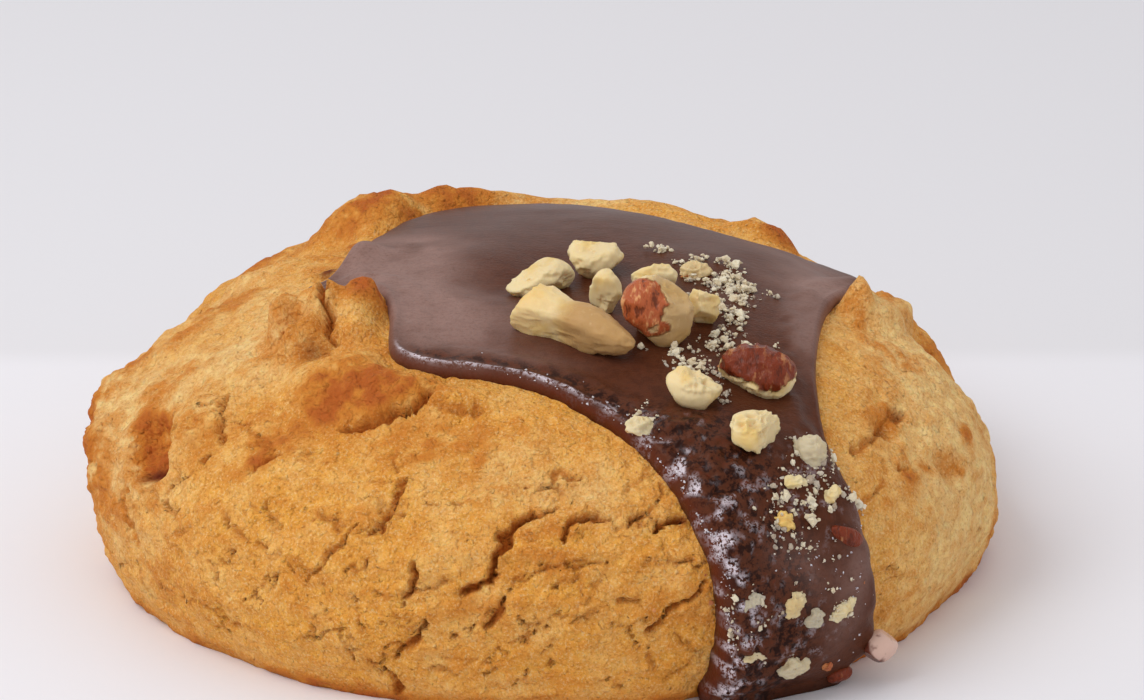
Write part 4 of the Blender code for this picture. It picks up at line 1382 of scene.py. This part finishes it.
@dataclass(frozen=True)
class GlazePiece:
    """The glaze as one closed mesh: its upper surface, and an underside sunk into the dough."""

    layer: GlazeLayer
    cells_along: int = 420
    cells_across: int = 104
    sink: float = 0.25
    foot_from: tuple[float, float] = (50.0, 54.0)
    foot_height: float = 0.04
    # Along the front edge, in millimetres from it and half as wide: the raised lip, the groove behind it,
    # the painted highlight line along the lip's crest, and the band of frosty patches on the drip.
    lip: tuple[float, float] = (0.8, 0.35)
    lip_height: float = 0.20
    groove: tuple[float, float] = (1.9, 0.75)
    groove_depth: float = 0.16
    lip_highlight_line: tuple[float, float] = (0.75, 0.19)
    frost_band: tuple[float, float] = (1.4, 0.9)
    # Places down the front where the lip and the drip's rough surface begin and end.
    lip_begins: tuple[float, float] = (18.0, 21.0)
    lip_ends: tuple[float, float] = (34.0, 38.0)
    drip_begins: tuple[float, float] = (26.0, 33.0)
    torn_from: tuple[float, float] = (0.42, 0.72)
    # Hollows of the surface, in rows like the spots of the crust.
    hollows: tuple[tuple[float, ...], ...] = (
        (-5.0, -6.4, 2.8, 3.0, -0.80, 2.0),
        (-12.0, -12.0, 2.0, 5.0, -0.25, 2.0),
    )
    # Slow waves: height, size and seed.
    waves: tuple[tuple[float, float, int], ...] = ((0.06, 5.0, 131), (0.03, 2.2, 101))
    # Bits coated by the glaze: size and seed, how much of each stays level, and its height.
    coated_bits: tuple[tuple[float, int, float, float], ...] = (
        (1.3, 111, 0.35, 0.90),
        (0.7, 121, 0.0, 0.45),
        (0.42, 125, 0.0, 0.20),
    )
    # Where they make it lumpy: u, v, half sizes, strength, squareness.
    lumpy: tuple[tuple[float, ...], ...] = (
        (11.0, -33.0, 3.2, 3.2, 0.7, 2.5),
        (14.0, -38.0, 3.6, 4.0, 0.9, 2.5),
        (17.0, -44.0, 3.0, 5.0, 0.7, 2.5),
        (20.5, -49.5, 4.0, 4.0, 0.7, 2.5),
        (22.0, -35.0, 5.0, 3.6, 0.5, 2.5),
        (25.0, -44.5, 4.0, 3.0, 0.5, 2.5),
        (15.5, -8.5, 3.0, 3.0, 0.3, 2.5),
        (11.5, -21.5, 3.0, 2.0, 0.3, 2.5),
    )
    # Where the dull layer lies: partly the glaze's own dullness, partly painted sheen where the surface
    # reflects the bright room.
    bloom_and_sheen_spots: tuple[tuple[float, ...], ...] = (
        (-13.4, -5.6, 6.5, 8.8, 1.00, 3.0),
        (-8.4, -15.5, 6.2, 7.0, 0.90, 3.0),
        (-14.0, 4.0, 7.0, 6.0, 0.90, 3.0),
        (-1.5, -22.5, 5.0, 2.6, 0.35, 2.0),
        (25.0, -1.0, 4.5, 6.5, 1.00, 2.5),
        (24.0, 8.0, 6.0, 3.0, 0.60, 2.0),
        (23.0, -13.0, 1.6, 7.0, 0.70, 2.0),
        (28.5, -38.5, 2.0, 6.0, 0.55, 2.0),
        (23.0, -40.5, 3.0, 2.0, 0.35, 2.0),
    )

    def surface(self, flat: Array, depth: Array) -> tuple[Array, dict[str, Array]]:
        """Points of the upper surface, and what the finish reads.

        To the solid's own surface it adds a raised lip with a groove behind it along the front
        edge, hollows, lumps over coated bits, and slow waves.

        Args:
            flat: places (n, 2) on the skin.
            depth: distance (n,) inside the edge.

        Returns:
            The points (n, 3), and the values (n,) of the dull layer with its painted sheen, of the frosty
            patches with the painted lip highlight, of thinness, and of dark patches with the painted
            shade of the groove.
        """
        points, _ = self.layer.crust.dome.skin(flat)
        front_gap = distance_to_path(flat, self.layer.crust.outline.front)
        on_drip = smooth_step(-flat[:, 1], *self.drip_begins)
        depth = depth * (1 + (0.15 + 0.30 * on_drip) * noise(points, 1.3, 145))
        inner = smooth_step(depth, 0.3, 1.6)
        wander = noise(points, 2.2, 101)
        on_lip = smooth_step(-flat[:, 1], *self.lip_begins)
        on_lip *= 1 - smooth_step(-flat[:, 1], *self.lip_ends)
        lip_gap = front_gap + 0.16 * wander
        groove = bell(lip_gap, *self.groove)
        lip = self.lip_height * bell(lip_gap, *self.lip) - self.groove_depth * groove
        lumpy = np.clip(spots(flat, self.lumpy), 0, 1)
        bits = np.zeros(len(points))
        for size, seed, floor, height in self.coated_bits:
            bits += height * np.clip(nodules(points, size, seed) - floor, 0, 1)
        waves = bumpy(points, self.waves)
        extra = on_lip * lip + inner * (spots(flat, self.hollows) + lumpy * (bits - 0.2) + waves)
        torn = 0.5 + 0.5 * noise(points, 0.9, 141)
        # The painted highlight line along the lip's crest.
        crest = bell(lip_gap, *self.lip_highlight_line)
        patchy = bell(lip_gap, *self.frost_band) * smooth_step(torn, *self.torn_from)
        frost_and_highlight = on_lip * (1 - on_drip) * crest * (0.2 + 1.4 * torn) + 0.95 * on_drip * patchy
        frost_and_highlight += 0.5 * lumpy * on_drip * smooth_step(nodules(points, 0.7, 121) * torn, 0.45, 0.6)
        thin = bell(depth, 0.0, 0.5) + 0.4 * on_drip * bell(front_gap, 0.0, 1.4)
        # Dark patches: a few everywhere, more on the drip's left half, and painted shade in the groove
        # behind the lip.
        mottle_and_groove_shade = 0.25 + on_drip * (1 - smooth_step(front_gap, 6.0, 11.0)) + 0.7 * on_lip * groove
        # The dull layer with its painted sheen, taken out of the groove behind the lip.
        bloom_and_sheen = spots(flat + 0.8 * wander[:, None], self.bloom_and_sheen_spots) * (1 - 0.85 * on_lip * groove)
        marks = {
            "bloom_and_sheen": np.clip(bloom_and_sheen, 0, 1),
            "frost_and_highlight": np.clip(frost_and_highlight, 0, 1),
            "thinness": np.clip(thin, 0, 1),
            "mottle_and_groove_shade": np.clip(mottle_and_groove_shade, 0, 1),
        }
        return self.layer.crust.bed(flat, self.layer.rise(flat, depth) + extra), marks

    def build(self, finish: GlazeFinish) -> bpy.types.Object:
        """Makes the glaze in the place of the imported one.

        The border is shared by both sides, and it lies a little inside the dough. Only the foot of
        the drip keeps its thickness to the end, and turns under on the table.
        """
        rows, columns = self.cells_along + 1, self.cells_across + 1
        along, across = np.meshgrid(np.linspace(0, 1, rows), np.linspace(0, 1, columns), indexing="ij")
        outline = self.layer.crust.outline
        flat = outline.places(along.ravel(), across.ravel())
        depth = np.maximum(outline.depth(flat), 0)
        sides = np.minimum(distance_to_path(flat, outline.front), distance_to_path(flat, outline.back))
        low = smooth_step(np.hypot(flat[:, 0], flat[:, 1]), *self.foot_from)
        depth += low * (sides - depth)
        number = np.arange(rows * columns).reshape(rows, columns)
        border = np.ones((rows, columns), dtype=bool)
        border[1:-1, 1:-1] = False
        foot = np.zeros((rows, columns), dtype=bool)
        foot[-1, 1:-1] = True
        border, foot = border.ravel(), foot.ravel()
        sunk = border & ~foot
        depth[sunk] = 0
        top, marks = self.surface(flat, depth)
        top[sunk] = self.layer.crust.bed(flat[sunk], np.full(sunk.sum(), -self.sink))
        top[foot, 2] = self.foot_height
        inside = ~border
        under = self.layer.crust.bed(flat[inside], np.full(inside.sum(), -self.sink))
        under_number = number.ravel().copy()
        under_number[inside] = rows * columns + np.arange(inside.sum())
        quads = grid_quads(rows, columns)
        faces = quads[:, ::-1].tolist() + under_number[quads].tolist()
        marks = {name: np.concatenate((values, values[inside])) for name, values in marks.items()}
        points = np.concatenate((top, under))
        piece = make_piece("glaze_coat", points, faces, finish.material(), marks)
        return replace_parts(piece, "glaze")


class SkinSide(Enum):
    """Where a hazelnut piece still has its papery skin, as a direction in the row frame."""

    NONE = (0.0, 0.0, 0.0)
    LEFT = (-0.62, -0.62, 0.35)
    TOP = (0.10, -0.35, 0.93)


@dataclass(frozen=True)
class Chunk:
    """A broken piece of nut: a ball with flats, stretched, turned and set on the glaze.

    Its radius in a direction is 1 / (1 + sum of (facing / distance)**k)**(1/k) over a few broken
    faces. A waist and a taper along it make two lobes.
    """

    place: Place
    half_sizes: tuple[float, float, float]
    turn: float
    seed: int
    height: float = 0.0
    lobes: tuple[float, float] = (0.0, 0.0)
    faces: int = 8
    nearest: float = 0.5
    farthest: float = 0.97
    sharpness: int = 30

    def shape(self, directions: Array) -> Array:
        """The chunk's own surface (n, 3) in directions (n, 3), before it is set down."""
        random = np.random.default_rng(self.seed)
        facing = random.normal(size=(self.faces, 3))
        facing /= np.linalg.norm(facing, axis=1)[:, None]
        distance = random.uniform(self.nearest, self.farthest, size=self.faces)
        reach = np.clip(directions @ facing.T, 0, None) / distance
        radius = 1 + np.sum(reach**self.sharpness, axis=1)
        points = directions * (radius ** (-1 / self.sharpness))[:, None]
        waist, taper = self.lobes
        girth = 1 - waist * np.exp(-((points[:, 0] / 0.3) ** 2)) - taper * points[:, 0]
        points[:, 1:] *= girth[:, None]
        return points * np.array(self.half_sizes)

    def frame(self, layer: GlazeLayer) -> tuple[Array, Array]:
        """The chunk's middle (3,) and its three axes (3, 3) on the glaze."""
        place, outward = (row[0] for row in layer.top_at(np.array((self.place,))))
        turn = math.radians(self.turn)
        across = np.array((math.cos(turn), math.sin(turn), 0.0))
        across -= outward * (across @ outward)
        across /= np.linalg.norm(across)
        return place + outward * self.height, np.stack((across, np.cross(outward, across), outward))


@dataclass(frozen=True)
class Hazelnut:
    """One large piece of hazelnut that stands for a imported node."""

    node: str
    chunk: Chunk
    skin_side: SkinSide = SkinSide.NONE
    skin_reach: float = 0.1
    tan: float = 0.15
    # Tan toward one end of the piece: its own tan, and painted shade where that end slopes away.
    shaded_tan_from: tuple[float, float] = (-0.6, 0.2)
    core: float = 0.15
    fairness: float = 0.0
    rough: float = 0.3
    allowance: float = 0.12
    chip_height: float = 1.4
    fold_height: float = 0.30
    fold_size: float = 0.8
    fold_squeeze: tuple[float, float, float] = (1.0, 0.45, 0.45)
    rows: int = 64
    columns: int = 120

    def build(self, layer: GlazeLayer, material: bpy.types.Material) -> bpy.types.Object:
        """Makes the piece, with chipped edges and shallow dents over the solid's own form.

        Args:
            layer: the glaze that it lies on.
            material: the hazelnut finish.

        Returns:
            The new piece.
        """
        directions, faces = ball(self.rows, self.columns)
        own = self.chunk.shape(directions)
        middle, axes = self.chunk.frame(layer)
        points = own @ axes + middle
        outward = directions @ axes
        dents = 0.09 * noise(points, 1.6, 151) + 0.05 * noise(points, 0.6, 152)
        torn = smooth_step(noise(points, 1.7, 171), -0.5, 0.3)
        chips = torn * (ridges(points, 0.9, 161) + 0.5 * ridges(points, 0.42, 165) - 1.1)
        chips *= self.chip_height * self.rough
        skin_way = np.array(self.skin_side.value)
        facing = outward @ skin_way + 0.26 * noise(points, 1.5, 181) + 0.16 * noise(points, 0.5, 182)
        has_skin = self.skin_side is not SkinSide.NONE
        skin = smooth_step(facing, self.skin_reach, self.skin_reach + 0.08) * has_skin
        folds = ridges(points * np.array(self.fold_squeeze), self.fold_size, 191) - 0.8
        relief = dents - self.allowance + chips * (1 - skin) + self.fold_height * folds * skin
        points = points + outward * relief[:, None]
        share = own / np.array(self.chunk.half_sizes)
        core = self.core * np.exp(-(((share[:, 0] + 0.45) / 0.4) ** 2) - (share[:, 1] + 0.4) ** 2 / 0.6)
        marks = {
            "skin": skin,
            "tan": self.tan * smooth_step(share[:, 0], *self.shaded_tan_from),
            "core": core,
            "fairness": np.full(len(points), self.fairness),
        }
        piece = make_piece(f"{self.node}_flesh", points, faces, material, marks)
        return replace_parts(piece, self.node)


@dataclass(frozen=True)
class StuckChips:
    """The small bits of hazelnut stuck fast in the glaze, as one mesh, and the coated bead."""

    # Each row: u, v, half sizes along, across and up, turn, and how grey, skinned and deep in tone.
    rows: tuple[tuple[float, ...], ...] = (
        (13.3, -3.2, 1.6, 1.2, 1.0, 20.0, 0.35, 0.0, 0.5),
        (22.2, -31.5, 1.7, 1.5, 1.5, -40.0, 0.55, 0.0, 0.0),
        (7.8, -31.8, 1.3, 1.0, 1.0, 10.0, 0.25, 0.0, 0.0),
        (20.4, -38.2, 1.1, 0.8, 0.7, -20.0, 0.0, 0.0, 0.7),
        (26.4, -36.8, 1.7, 0.8, 0.8, -25.0, 0.0, 1.0, 0.3),
        (22.7, -43.5, 1.4, 0.9, 0.8, -70.0, 0.35, 0.0, 0.2),
        (18.4, -44.7, 1.1, 0.7, 0.7, -75.0, 0.80, 0.0, 0.0),
        (25.2, -43.7, 1.0, 0.9, 0.7, 0.0, 0.80, 0.0, 0.0),
        (27.9, -41.9, 1.6, 0.7, 0.7, -60.0, 0.20, 0.0, 0.0),
        (25.3, -47.7, 1.6, 1.2, 1.0, 30.0, 0.55, 0.0, 0.0),
        (33.0, -46.6, 1.2, 0.8, 0.7, 10.0, 0.0, 1.0, 0.0),
        (20.4, -48.4, 1.1, 0.8, 0.8, 40.0, 0.50, 0.0, 0.0),
        (20.9, -35.0, 1.2, 0.8, 0.8, 10.0, 0.10, 0.0, 0.0),
        (24.4, -34.4, 1.0, 0.8, 0.8, 80.0, 0.10, 0.0, 0.1),
    )
    bead: tuple[float, ...] = (34.7, -41.8, 1.75, 1.4, 1.4, 25.0)
    bead_bare: tuple[float, float, float] = (0.75, -0.35, 0.45)
    mesh_size: tuple[int, int] = (34, 52)
    roughness: float = 0.38
    first_seed: int = 100
    faces: int = 11
    nearest: float = 0.78

    def placed(
        self, layer: GlazeLayer, number: int, row: tuple[float, ...]
    ) -> tuple[Array, Array, Faces]:
        """One bit's points (n, 3), outward directions (n, 3) and faces, on the glaze.

        Args:
            layer: the glaze that it is stuck in.
            number: its place in the order of the bits, which picks its broken faces.
            row: u, v, half sizes along, across and up, and turn.

        Returns:
            The points, directions and faces.
        """
        u, v, along, across, up, turn = row[:6]
        seed = self.first_seed + number
        chunk = Chunk((u, v), (along, across, up), turn, seed, faces=self.faces, nearest=self.nearest)
        directions, faces = ball(*self.mesh_size)
        middle, axes = chunk.frame(layer)
        return chunk.shape(directions) @ axes + middle, directions @ axes, faces

    def build(self, layer: GlazeLayer, material: bpy.types.Material) -> list[bpy.types.Object]:
        """Makes the chips with crumbly tops, and the smooth bead at the drip's right edge."""
        points, marks = [], []
        for number, row in enumerate(self.rows):
            place, outward, faces = self.placed(layer, number, row)
            broken = ridges(place, 0.7, 161) + 0.6 * ridges(place, 0.34, 165) - 1.15
            points.append(place + outward * (self.roughness * (1 - row[7]) * broken)[:, None])
            marks.append(np.repeat(np.array((row[6:9],)), len(place), axis=0))
        tones = np.concatenate(marks)
        named = {name: tones[:, column] for column, name in enumerate(("grey", "skin", "core"))}
        joined = repeated(faces, len(points[0]), len(points))
        points = np.concatenate(points)
        chips = make_piece("stuck_chips", points, joined, material, named)
        place, outward, faces = self.placed(layer, len(self.rows), self.bead)
        bare = {"bare": smooth_step(outward @ np.array(self.bead_bare), -0.4, 0.5)}
        coating = BeadFinish().material()
        bead = make_piece("coated_bead", place, faces, coating, bare)
        return [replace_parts(chips, "glaze"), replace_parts(bead, "glaze")]


@dataclass(frozen=True)
class Scatter:
    """Many small bits of one kind, joined in one mesh."""

    name: str
    finish: CrumbFinish
    slot: str
    rows: int
    columns: int
    patches: tuple[tuple[float, ...], ...]
    seed: int
    flatness: float = 0.75
    lift: float = 0.25
    pile: float = 0.0
    children: int = 4
    least_depth: float = -9.0
    clearance: float = 0.05

    def places(self, random: np.random.Generator) -> tuple[Array, Array]:
        """Places (n, 2) and half sizes (n,) of the bits.

        Args:
            random: the generator that draws them.

        Returns:
            The places on the skin, and the half sizes in millimetres.
        """
        middles, sizes = [], []
        for u, v, spread_u, spread_v, turn, count, smallest, largest in self.patches:
            number = int(count)
            away = random.normal(size=(number, 2)) * 0.5 * np.array((spread_u, spread_v))
            angle = math.radians(turn)
            spin = np.array(((math.cos(angle), math.sin(angle)), (-math.sin(angle), math.cos(angle))))
            middles.append(np.array((u, v)) + away @ spin)
            sizes.append(smallest + (largest - smallest) * random.random(number) ** 2.2)
        flat, half = np.concatenate(middles), np.concatenate(sizes)
        near = np.repeat(flat, self.children, axis=0)
        about = np.repeat(half, self.children)
        near += random.normal(size=near.shape) * 0.75 * about[:, None]
        small = about * random.uniform(0.25, 0.55, size=len(about))
        return np.concatenate((flat, near)), np.concatenate((half, small))

    def build(
        self, layer: GlazeLayer, keep_off: Sequence[tuple[float, float, float]]
    ) -> bpy.types.Object:
        """Makes the bits on the glaze, and on the dough where they fall beside it.

        Each is an angular ball of a few flat faces: the radius in each direction is drawn at
        random. Smaller bits cluster round each one.

        Args:
            layer: the glaze that they lie on.
            keep_off: u, v and radius of the large pieces that no bit lies under.

        Returns:
            The new piece.
        """
        random = np.random.default_rng(self.seed)
        flat, half = self.places(random)
        for u, v, radius in keep_off:
            clear = np.hypot(flat[:, 0] - u, flat[:, 1] - v) > radius
            flat, half = flat[clear], half[clear]
        depth = layer.crust.outline.depth(flat)
        keep = depth > self.least_depth
        flat, half, depth = flat[keep], half[keep], depth[keep]
        count = len(flat)
        directions, faces = ball(self.rows, self.columns)
        on_glaze = np.clip(depth, 0, None)
        base = layer.crust.bed(flat, np.where(depth > 0, layer.rise(flat, on_glaze), 0.0))
        _, outward = layer.crust.dome.skin(flat)
        axes = np.linalg.qr(random.normal(size=(count, 3, 3)))[0]
        stretch = random.uniform(0.55, 1.0, size=(count, 1, 3))
        lumps = random.uniform(0.55, 1.15, size=(count, len(directions), 1))
        own = (directions[None] * lumps * stretch * half[:, None, None]) @ axes
        along = np.einsum("nmk,nk->nm", own, outward)
        own -= (1 - self.flatness) * along[:, :, None] * outward[:, None, :]
        heap = self.lift * half + self.pile * random.random(count) ** 2
        points = (own + (base + outward * heap[:, None])[:, None, :]).reshape(-1, 3)
        points[:, 2] = np.maximum(points[:, 2], self.clearance)
        tone = {"tone": np.repeat(random.random(count), len(directions))}
        joined = repeated(faces, len(directions), count)
        material = self.finish.material()
        return make_piece(self.name, points, joined, material, tone, smooth=False)


@dataclass(frozen=True)
class Topping:
    """The hazelnut on the glaze: the large pieces, the stuck bits and the loose crumbs."""

    layer: GlazeLayer
    hazelnuts: tuple[Hazelnut, ...] = (
        Hazelnut("hazelnut_rear_left", Chunk((-0.6, -7.2), (3.5, 2.4, 2.0), 22.0, 116, 1.0), rough=0.25),
        Hazelnut(
            "hazelnut_rear_middle",
            Chunk((4.4, -3.0), (2.8, 2.5, 2.6), -15.0, 105, 1.3),
            rough=0.25,
            allowance=0.20,
        ),
        Hazelnut("hazelnut_rear_small", Chunk((9.6, -6.8), (2.3, 1.6, 1.5), -5.0, 42, 0.8), rough=0.2),
        Hazelnut("hazelnut_between", Chunk((5.2, -12.9), (1.6, 1.7, 2.5), 10.0, 58, 1.4), rough=0.15),
        Hazelnut(
            "hazelnut_two_lobed",
            Chunk((1.6, -18.1), (7.6, 2.8, 2.6), -39.0, 27, 1.5, lobes=(0.22, 0.16), nearest=0.55),
            # Strong tan on the right lobe: painted shade on the flesh's own tan.
            tan=0.95,
            shaded_tan_from=(-0.15, 0.25),
            core=0.5,
            rough=0.2,
        ),
        Hazelnut(
            "hazelnut_half_with_skin",
            Chunk((9.2, -17.6), (3.6, 2.7, 3.7), -8.0, 29, 2.2, faces=5, nearest=0.60),
            SkinSide.LEFT,
            0.38,
            # Strong tan: painted shade on the flesh's own tan.
            tan=0.75,
            fairness=1.0,
            rough=0.2,
            allowance=0.20,
        ),
        Hazelnut(
            "hazelnut_right_small",
            Chunk((13.4, -14.5), (1.6, 1.8, 2.5), -30.0, 196, 1.4, faces=7, nearest=0.45),
            rough=0.2,
        ),
        Hazelnut(
            "hazelnut_with_skin",
            Chunk((18.0, -23.7), (3.5, 2.8, 2.4), -10.0, 97, 1.3, faces=5, nearest=0.70),
            SkinSide.TOP,
            0.02,
            rough=0.4,
        ),
        Hazelnut(
            "hazelnut_front_left",
            Chunk((12.3, -27.4), (2.9, 2.3, 2.0), -25.0, 1, 1.0, faces=9),
            rough=0.4,
        ),
        Hazelnut(
            "hazelnut_front_right",
            Chunk((17.0, -32.1), (2.7, 2.2, 1.8), 30.0, 224, 0.9, faces=9),
            rough=0.45,
        ),
    )

    # Patches of loose bits: u, v, spread across, spread up and down, turn in degrees, count, and
    # the smallest and largest half size.
    pale_patches: tuple[tuple[float, ...], ...] = (
        (14.0, -0.8, 2.4, 1.6, 0, 12, 0.22, 0.75),
        (16.3, -6.0, 2.6, 3.6, 0, 60, 0.20, 0.85),
        (15.8, -12.2, 2.0, 3.4, 0, 26, 0.22, 0.85),
        (14.8, -18.0, 1.8, 2.8, 0, 22, 0.20, 0.80),
        (12.4, -21.4, 3.2, 1.8, -20, 26, 0.22, 0.85),
        (17.5, -17.2, 1.2, 1.0, 0, 4, 0.30, 0.60),
        (10.1, 2.2, 1.0, 0.8, 0, 5, 0.40, 0.85),
        (8.0, -29.0, 1.8, 1.0, 0, 2, 0.20, 0.35),
        (9.0, -31.6, 1.6, 1.0, 0, 6, 0.20, 0.60),
        (21.5, -34.0, 4.6, 1.8, 53, 34, 0.20, 0.72),
        (22.8, -35.2, 5.2, 1.8, 22, 34, 0.18, 0.65),
        (23.1, -39.1, 2.0, 1.2, 0, 8, 0.18, 0.50),
        (17.4, -45.6, 1.6, 2.6, 0, 10, 0.18, 0.60),
        (19.4, -47.0, 1.6, 2.0, 0, 8, 0.18, 0.55),
        (27.5, -41.8, 1.8, 1.8, 0, 8, 0.18, 0.60),
    )
    dusty_patches: tuple[tuple[float, ...], ...] = (
        (16.3, -6.4, 3.0, 3.8, 0, 34, 0.15, 0.50),
        (15.6, -13.0, 2.4, 5.0, 0, 30, 0.14, 0.45),
        (22.4, -34.8, 6.0, 3.0, 35, 54, 0.15, 0.60),
        (21.0, -43.0, 7.0, 7.0, 0, 44, 0.12, 0.45),
        (13.0, -22.6, 5.0, 2.6, -20, 24, 0.15, 0.50),
        (14.6, -26.6, 2.4, 2.0, 0, 12, 0.15, 0.45),
    )
    flake_patches: tuple[tuple[float, ...], ...] = (
        (13.2, -37.2, 0.8, 0.8, 0, 3, 0.35, 0.60),
        (21.4, -34.3, 0.8, 0.8, 0, 2, 0.40, 0.60),
        (29.5, -46.8, 0.6, 0.6, 0, 2, 0.50, 0.80),
        (26.9, -48.6, 0.6, 0.6, 0, 2, 0.40, 0.60),
        (14.0, -4.0, 1.6, 1.2, 0, 3, 0.35, 0.60),
        (20.0, -42.0, 8.0, 9.0, 0, 24, 0.12, 0.35),
        (13.0, -22.5, 4.0, 2.0, 0, 10, 0.15, 0.40),
        (9.0, -35.5, 6.0, 4.0, 0, 6, 0.10, 0.22),
    )
    frost_patches: tuple[tuple[float, ...], ...] = (
        (3.0, -29.0, 7.0, 1.6, -38, 90, 0.06, 0.16),
        (-5.0, -24.8, 9.0, 1.2, -20, 60, 0.05, 0.12),
        (9.6, -35.2, 5.0, 1.6, -55, 150, 0.06, 0.20),
        (13.2, -40.2, 6.0, 1.6, -58, 190, 0.06, 0.22),
        (16.6, -46.0, 6.0, 1.8, -62, 130, 0.06, 0.20),
        (17.0, -41.0, 6.0, 8.0, 20, 150, 0.05, 0.16),
        (24.0, -40.0, 8.0, 9.0, 0, 160, 0.05, 0.15),
    )

    def build(self) -> list[bpy.types.Object]:
        """Makes every piece of hazelnut and returns them."""
        material = HazelnutFinish().material()
        made = [nut.build(self.layer, material) for nut in self.hazelnuts]
        made += StuckChips().build(self.layer, material)
        keep_off = [(*nut.chunk.place, 0.75 * max(nut.chunk.half_sizes[:2])) for nut in self.hazelnuts]
        made += [scatter.build(self.layer, keep_off) for scatter in self.scatters()]
        return made

    def scatters(self) -> tuple[Scatter, ...]:
        """The kinds of loose bits: pale crumbs, dusty crumbs, skin flakes and frost."""
        pale = CrumbFinish("pale_crumbs", srgb(242, 230, 202), srgb(216, 198, 166))
        dusty = CrumbFinish("dusty_crumbs", srgb(220, 208, 188), srgb(170, 152, 132))
        skin = CrumbFinish("skin_flakes", srgb(168, 78, 36), srgb(208, 132, 70), 0.45)
        white = CrumbFinish("frost_flakes", srgb(240, 236, 238), srgb(198, 188, 194), 0.7)
        return (
            Scatter("pale_crumbs", pale, "hazelnut_kernel", 4, 6, self.pale_patches, 201, pile=0.5),
            Scatter(
                "dusty_crumbs", dusty, "hazelnut_kernel", 4, 6, self.dusty_patches, 202,
                pile=0.3, least_depth=0.6,
            ),
            Scatter(
                "skin_flakes", skin, "hazelnut_skin", 4, 6, self.flake_patches, 203,
                flatness=0.4, children=1,
            ),
            Scatter(
                "frost_flakes", white, "chocolate_glaze", 4, 5, self.frost_patches, 204,
                lift=0.35, children=1, least_depth=0.3,
            ),
        )


@dataclass(frozen=True)
class Studio:
    """The pale table, the soft lights and the camera."""

    # The camera's distance and its height in degrees, and how wide the picture sees.
    distance: float = 400.0
    elevation: float = 22.0
    focal_pixels: float = 4320.0
    picture_width: float = 1144.0
    picture_height: float = 700.0
    # Where the middle of the cookie's base lies in the picture.
    origin_x: float = 545.0
    origin_y: float = 533.0
    floor_radius: float = 3000.0
    world_strength: float = 0.71
    key_power: float = 1.42
    key_size: float = 420.0
    key_place: tuple[float, float, float] = (-330.0, -160.0, 480.0)

    def build(self) -> None:
        """Makes the table, lights and camera."""
        self.floor()
        self.lights()
        self.camera()

    def floor(self) -> None:
        """A round table top in rings, with a single middle point."""
        turn = np.linspace(0, 2 * math.pi, 96, endpoint=False)
        circle = np.stack((np.cos(turn), np.sin(turn), np.zeros(len(turn))), axis=1)
        rings = [circle * radius for radius in (60.0, 200.0, 800.0, self.floor_radius)]
        points = np.concatenate(rings + [np.zeros((1, 3))]) * MM
        faces = grid_quads(len(rings), len(turn), wrap=True)[:, ::-1].tolist()
        faces += fan(len(points) - 1, range(len(turn)))
        mesh = bpy.data.meshes.new("table")
        mesh.from_pydata(points.tolist(), [], faces)
        mesh.materials.append(FloorFinish().material())
        table = bpy.data.objects.new("table", mesh)
        bpy.context.scene.collection.objects.link(table)

    def lights(self) -> None:
        """A bright even sky and one large soft light from the upper left."""
        world = bpy.data.worlds.new("soft_room")
        world.use_nodes = True
        sky = world.node_tree.nodes["Background"]
        sky.inputs["Color"].default_value = (1.0, 0.99, 1.0, 1.0)
        sky.inputs["Strength"].default_value = self.world_strength
        bpy.context.scene.world = world
        data = bpy.data.lights.new("window", "AREA")
        data.shape = "DISK"
        data.size = self.key_size * MM
        data.energy = self.key_power
        light = bpy.data.objects.new("window", data)
        light.location = Vector(self.key_place) * MM
        light.rotation_euler = (-light.location).to_track_quat("-Z", "Y").to_euler()
        bpy.context.scene.collection.objects.link(light)
        bpy.context.scene.view_settings.view_transform = "Standard"

    def camera(self) -> None:
        """A long lens on the cookie, aimed so that its base lies where it does in the picture."""
        data = bpy.data.cameras.new("camera")
        data.sensor_width = 36.0
        data.lens = self.focal_pixels / self.picture_width * data.sensor_width
        data.clip_start = 0.01
        eye = bpy.data.objects.new("camera", data)
        height = math.radians(self.elevation)
        eye.location = Vector((0, -math.cos(height), math.sin(height))) * self.distance * MM
        pan = math.atan((self.picture_width / 2 - self.origin_x) / self.focal_pixels)
        tilt = math.atan((self.origin_y - self.picture_height / 2) / self.focal_pixels)
        eye.rotation_euler = (math.pi / 2 - height + tilt, 0, -pan)
        bpy.context.scene.collection.objects.link(eye)
        bpy.context.scene.camera = eye


def main() -> None:
    """Builds the cookie's pieces in order, then the studio round them."""
    logging.basicConfig(level=logging.INFO, format="%(message)s")
    crust = Crust(Dome(), GlazeOutline())
    layer = GlazeLayer(crust)
    DoughPiece(crust).build(DoughFinish())
    GlazePiece(layer).build(GlazeFinish())
    made = Topping(layer).build()
    LOG.info("topping: %d pieces", len(made))
    Studio().build()


if __name__ == "__main__":
    main()
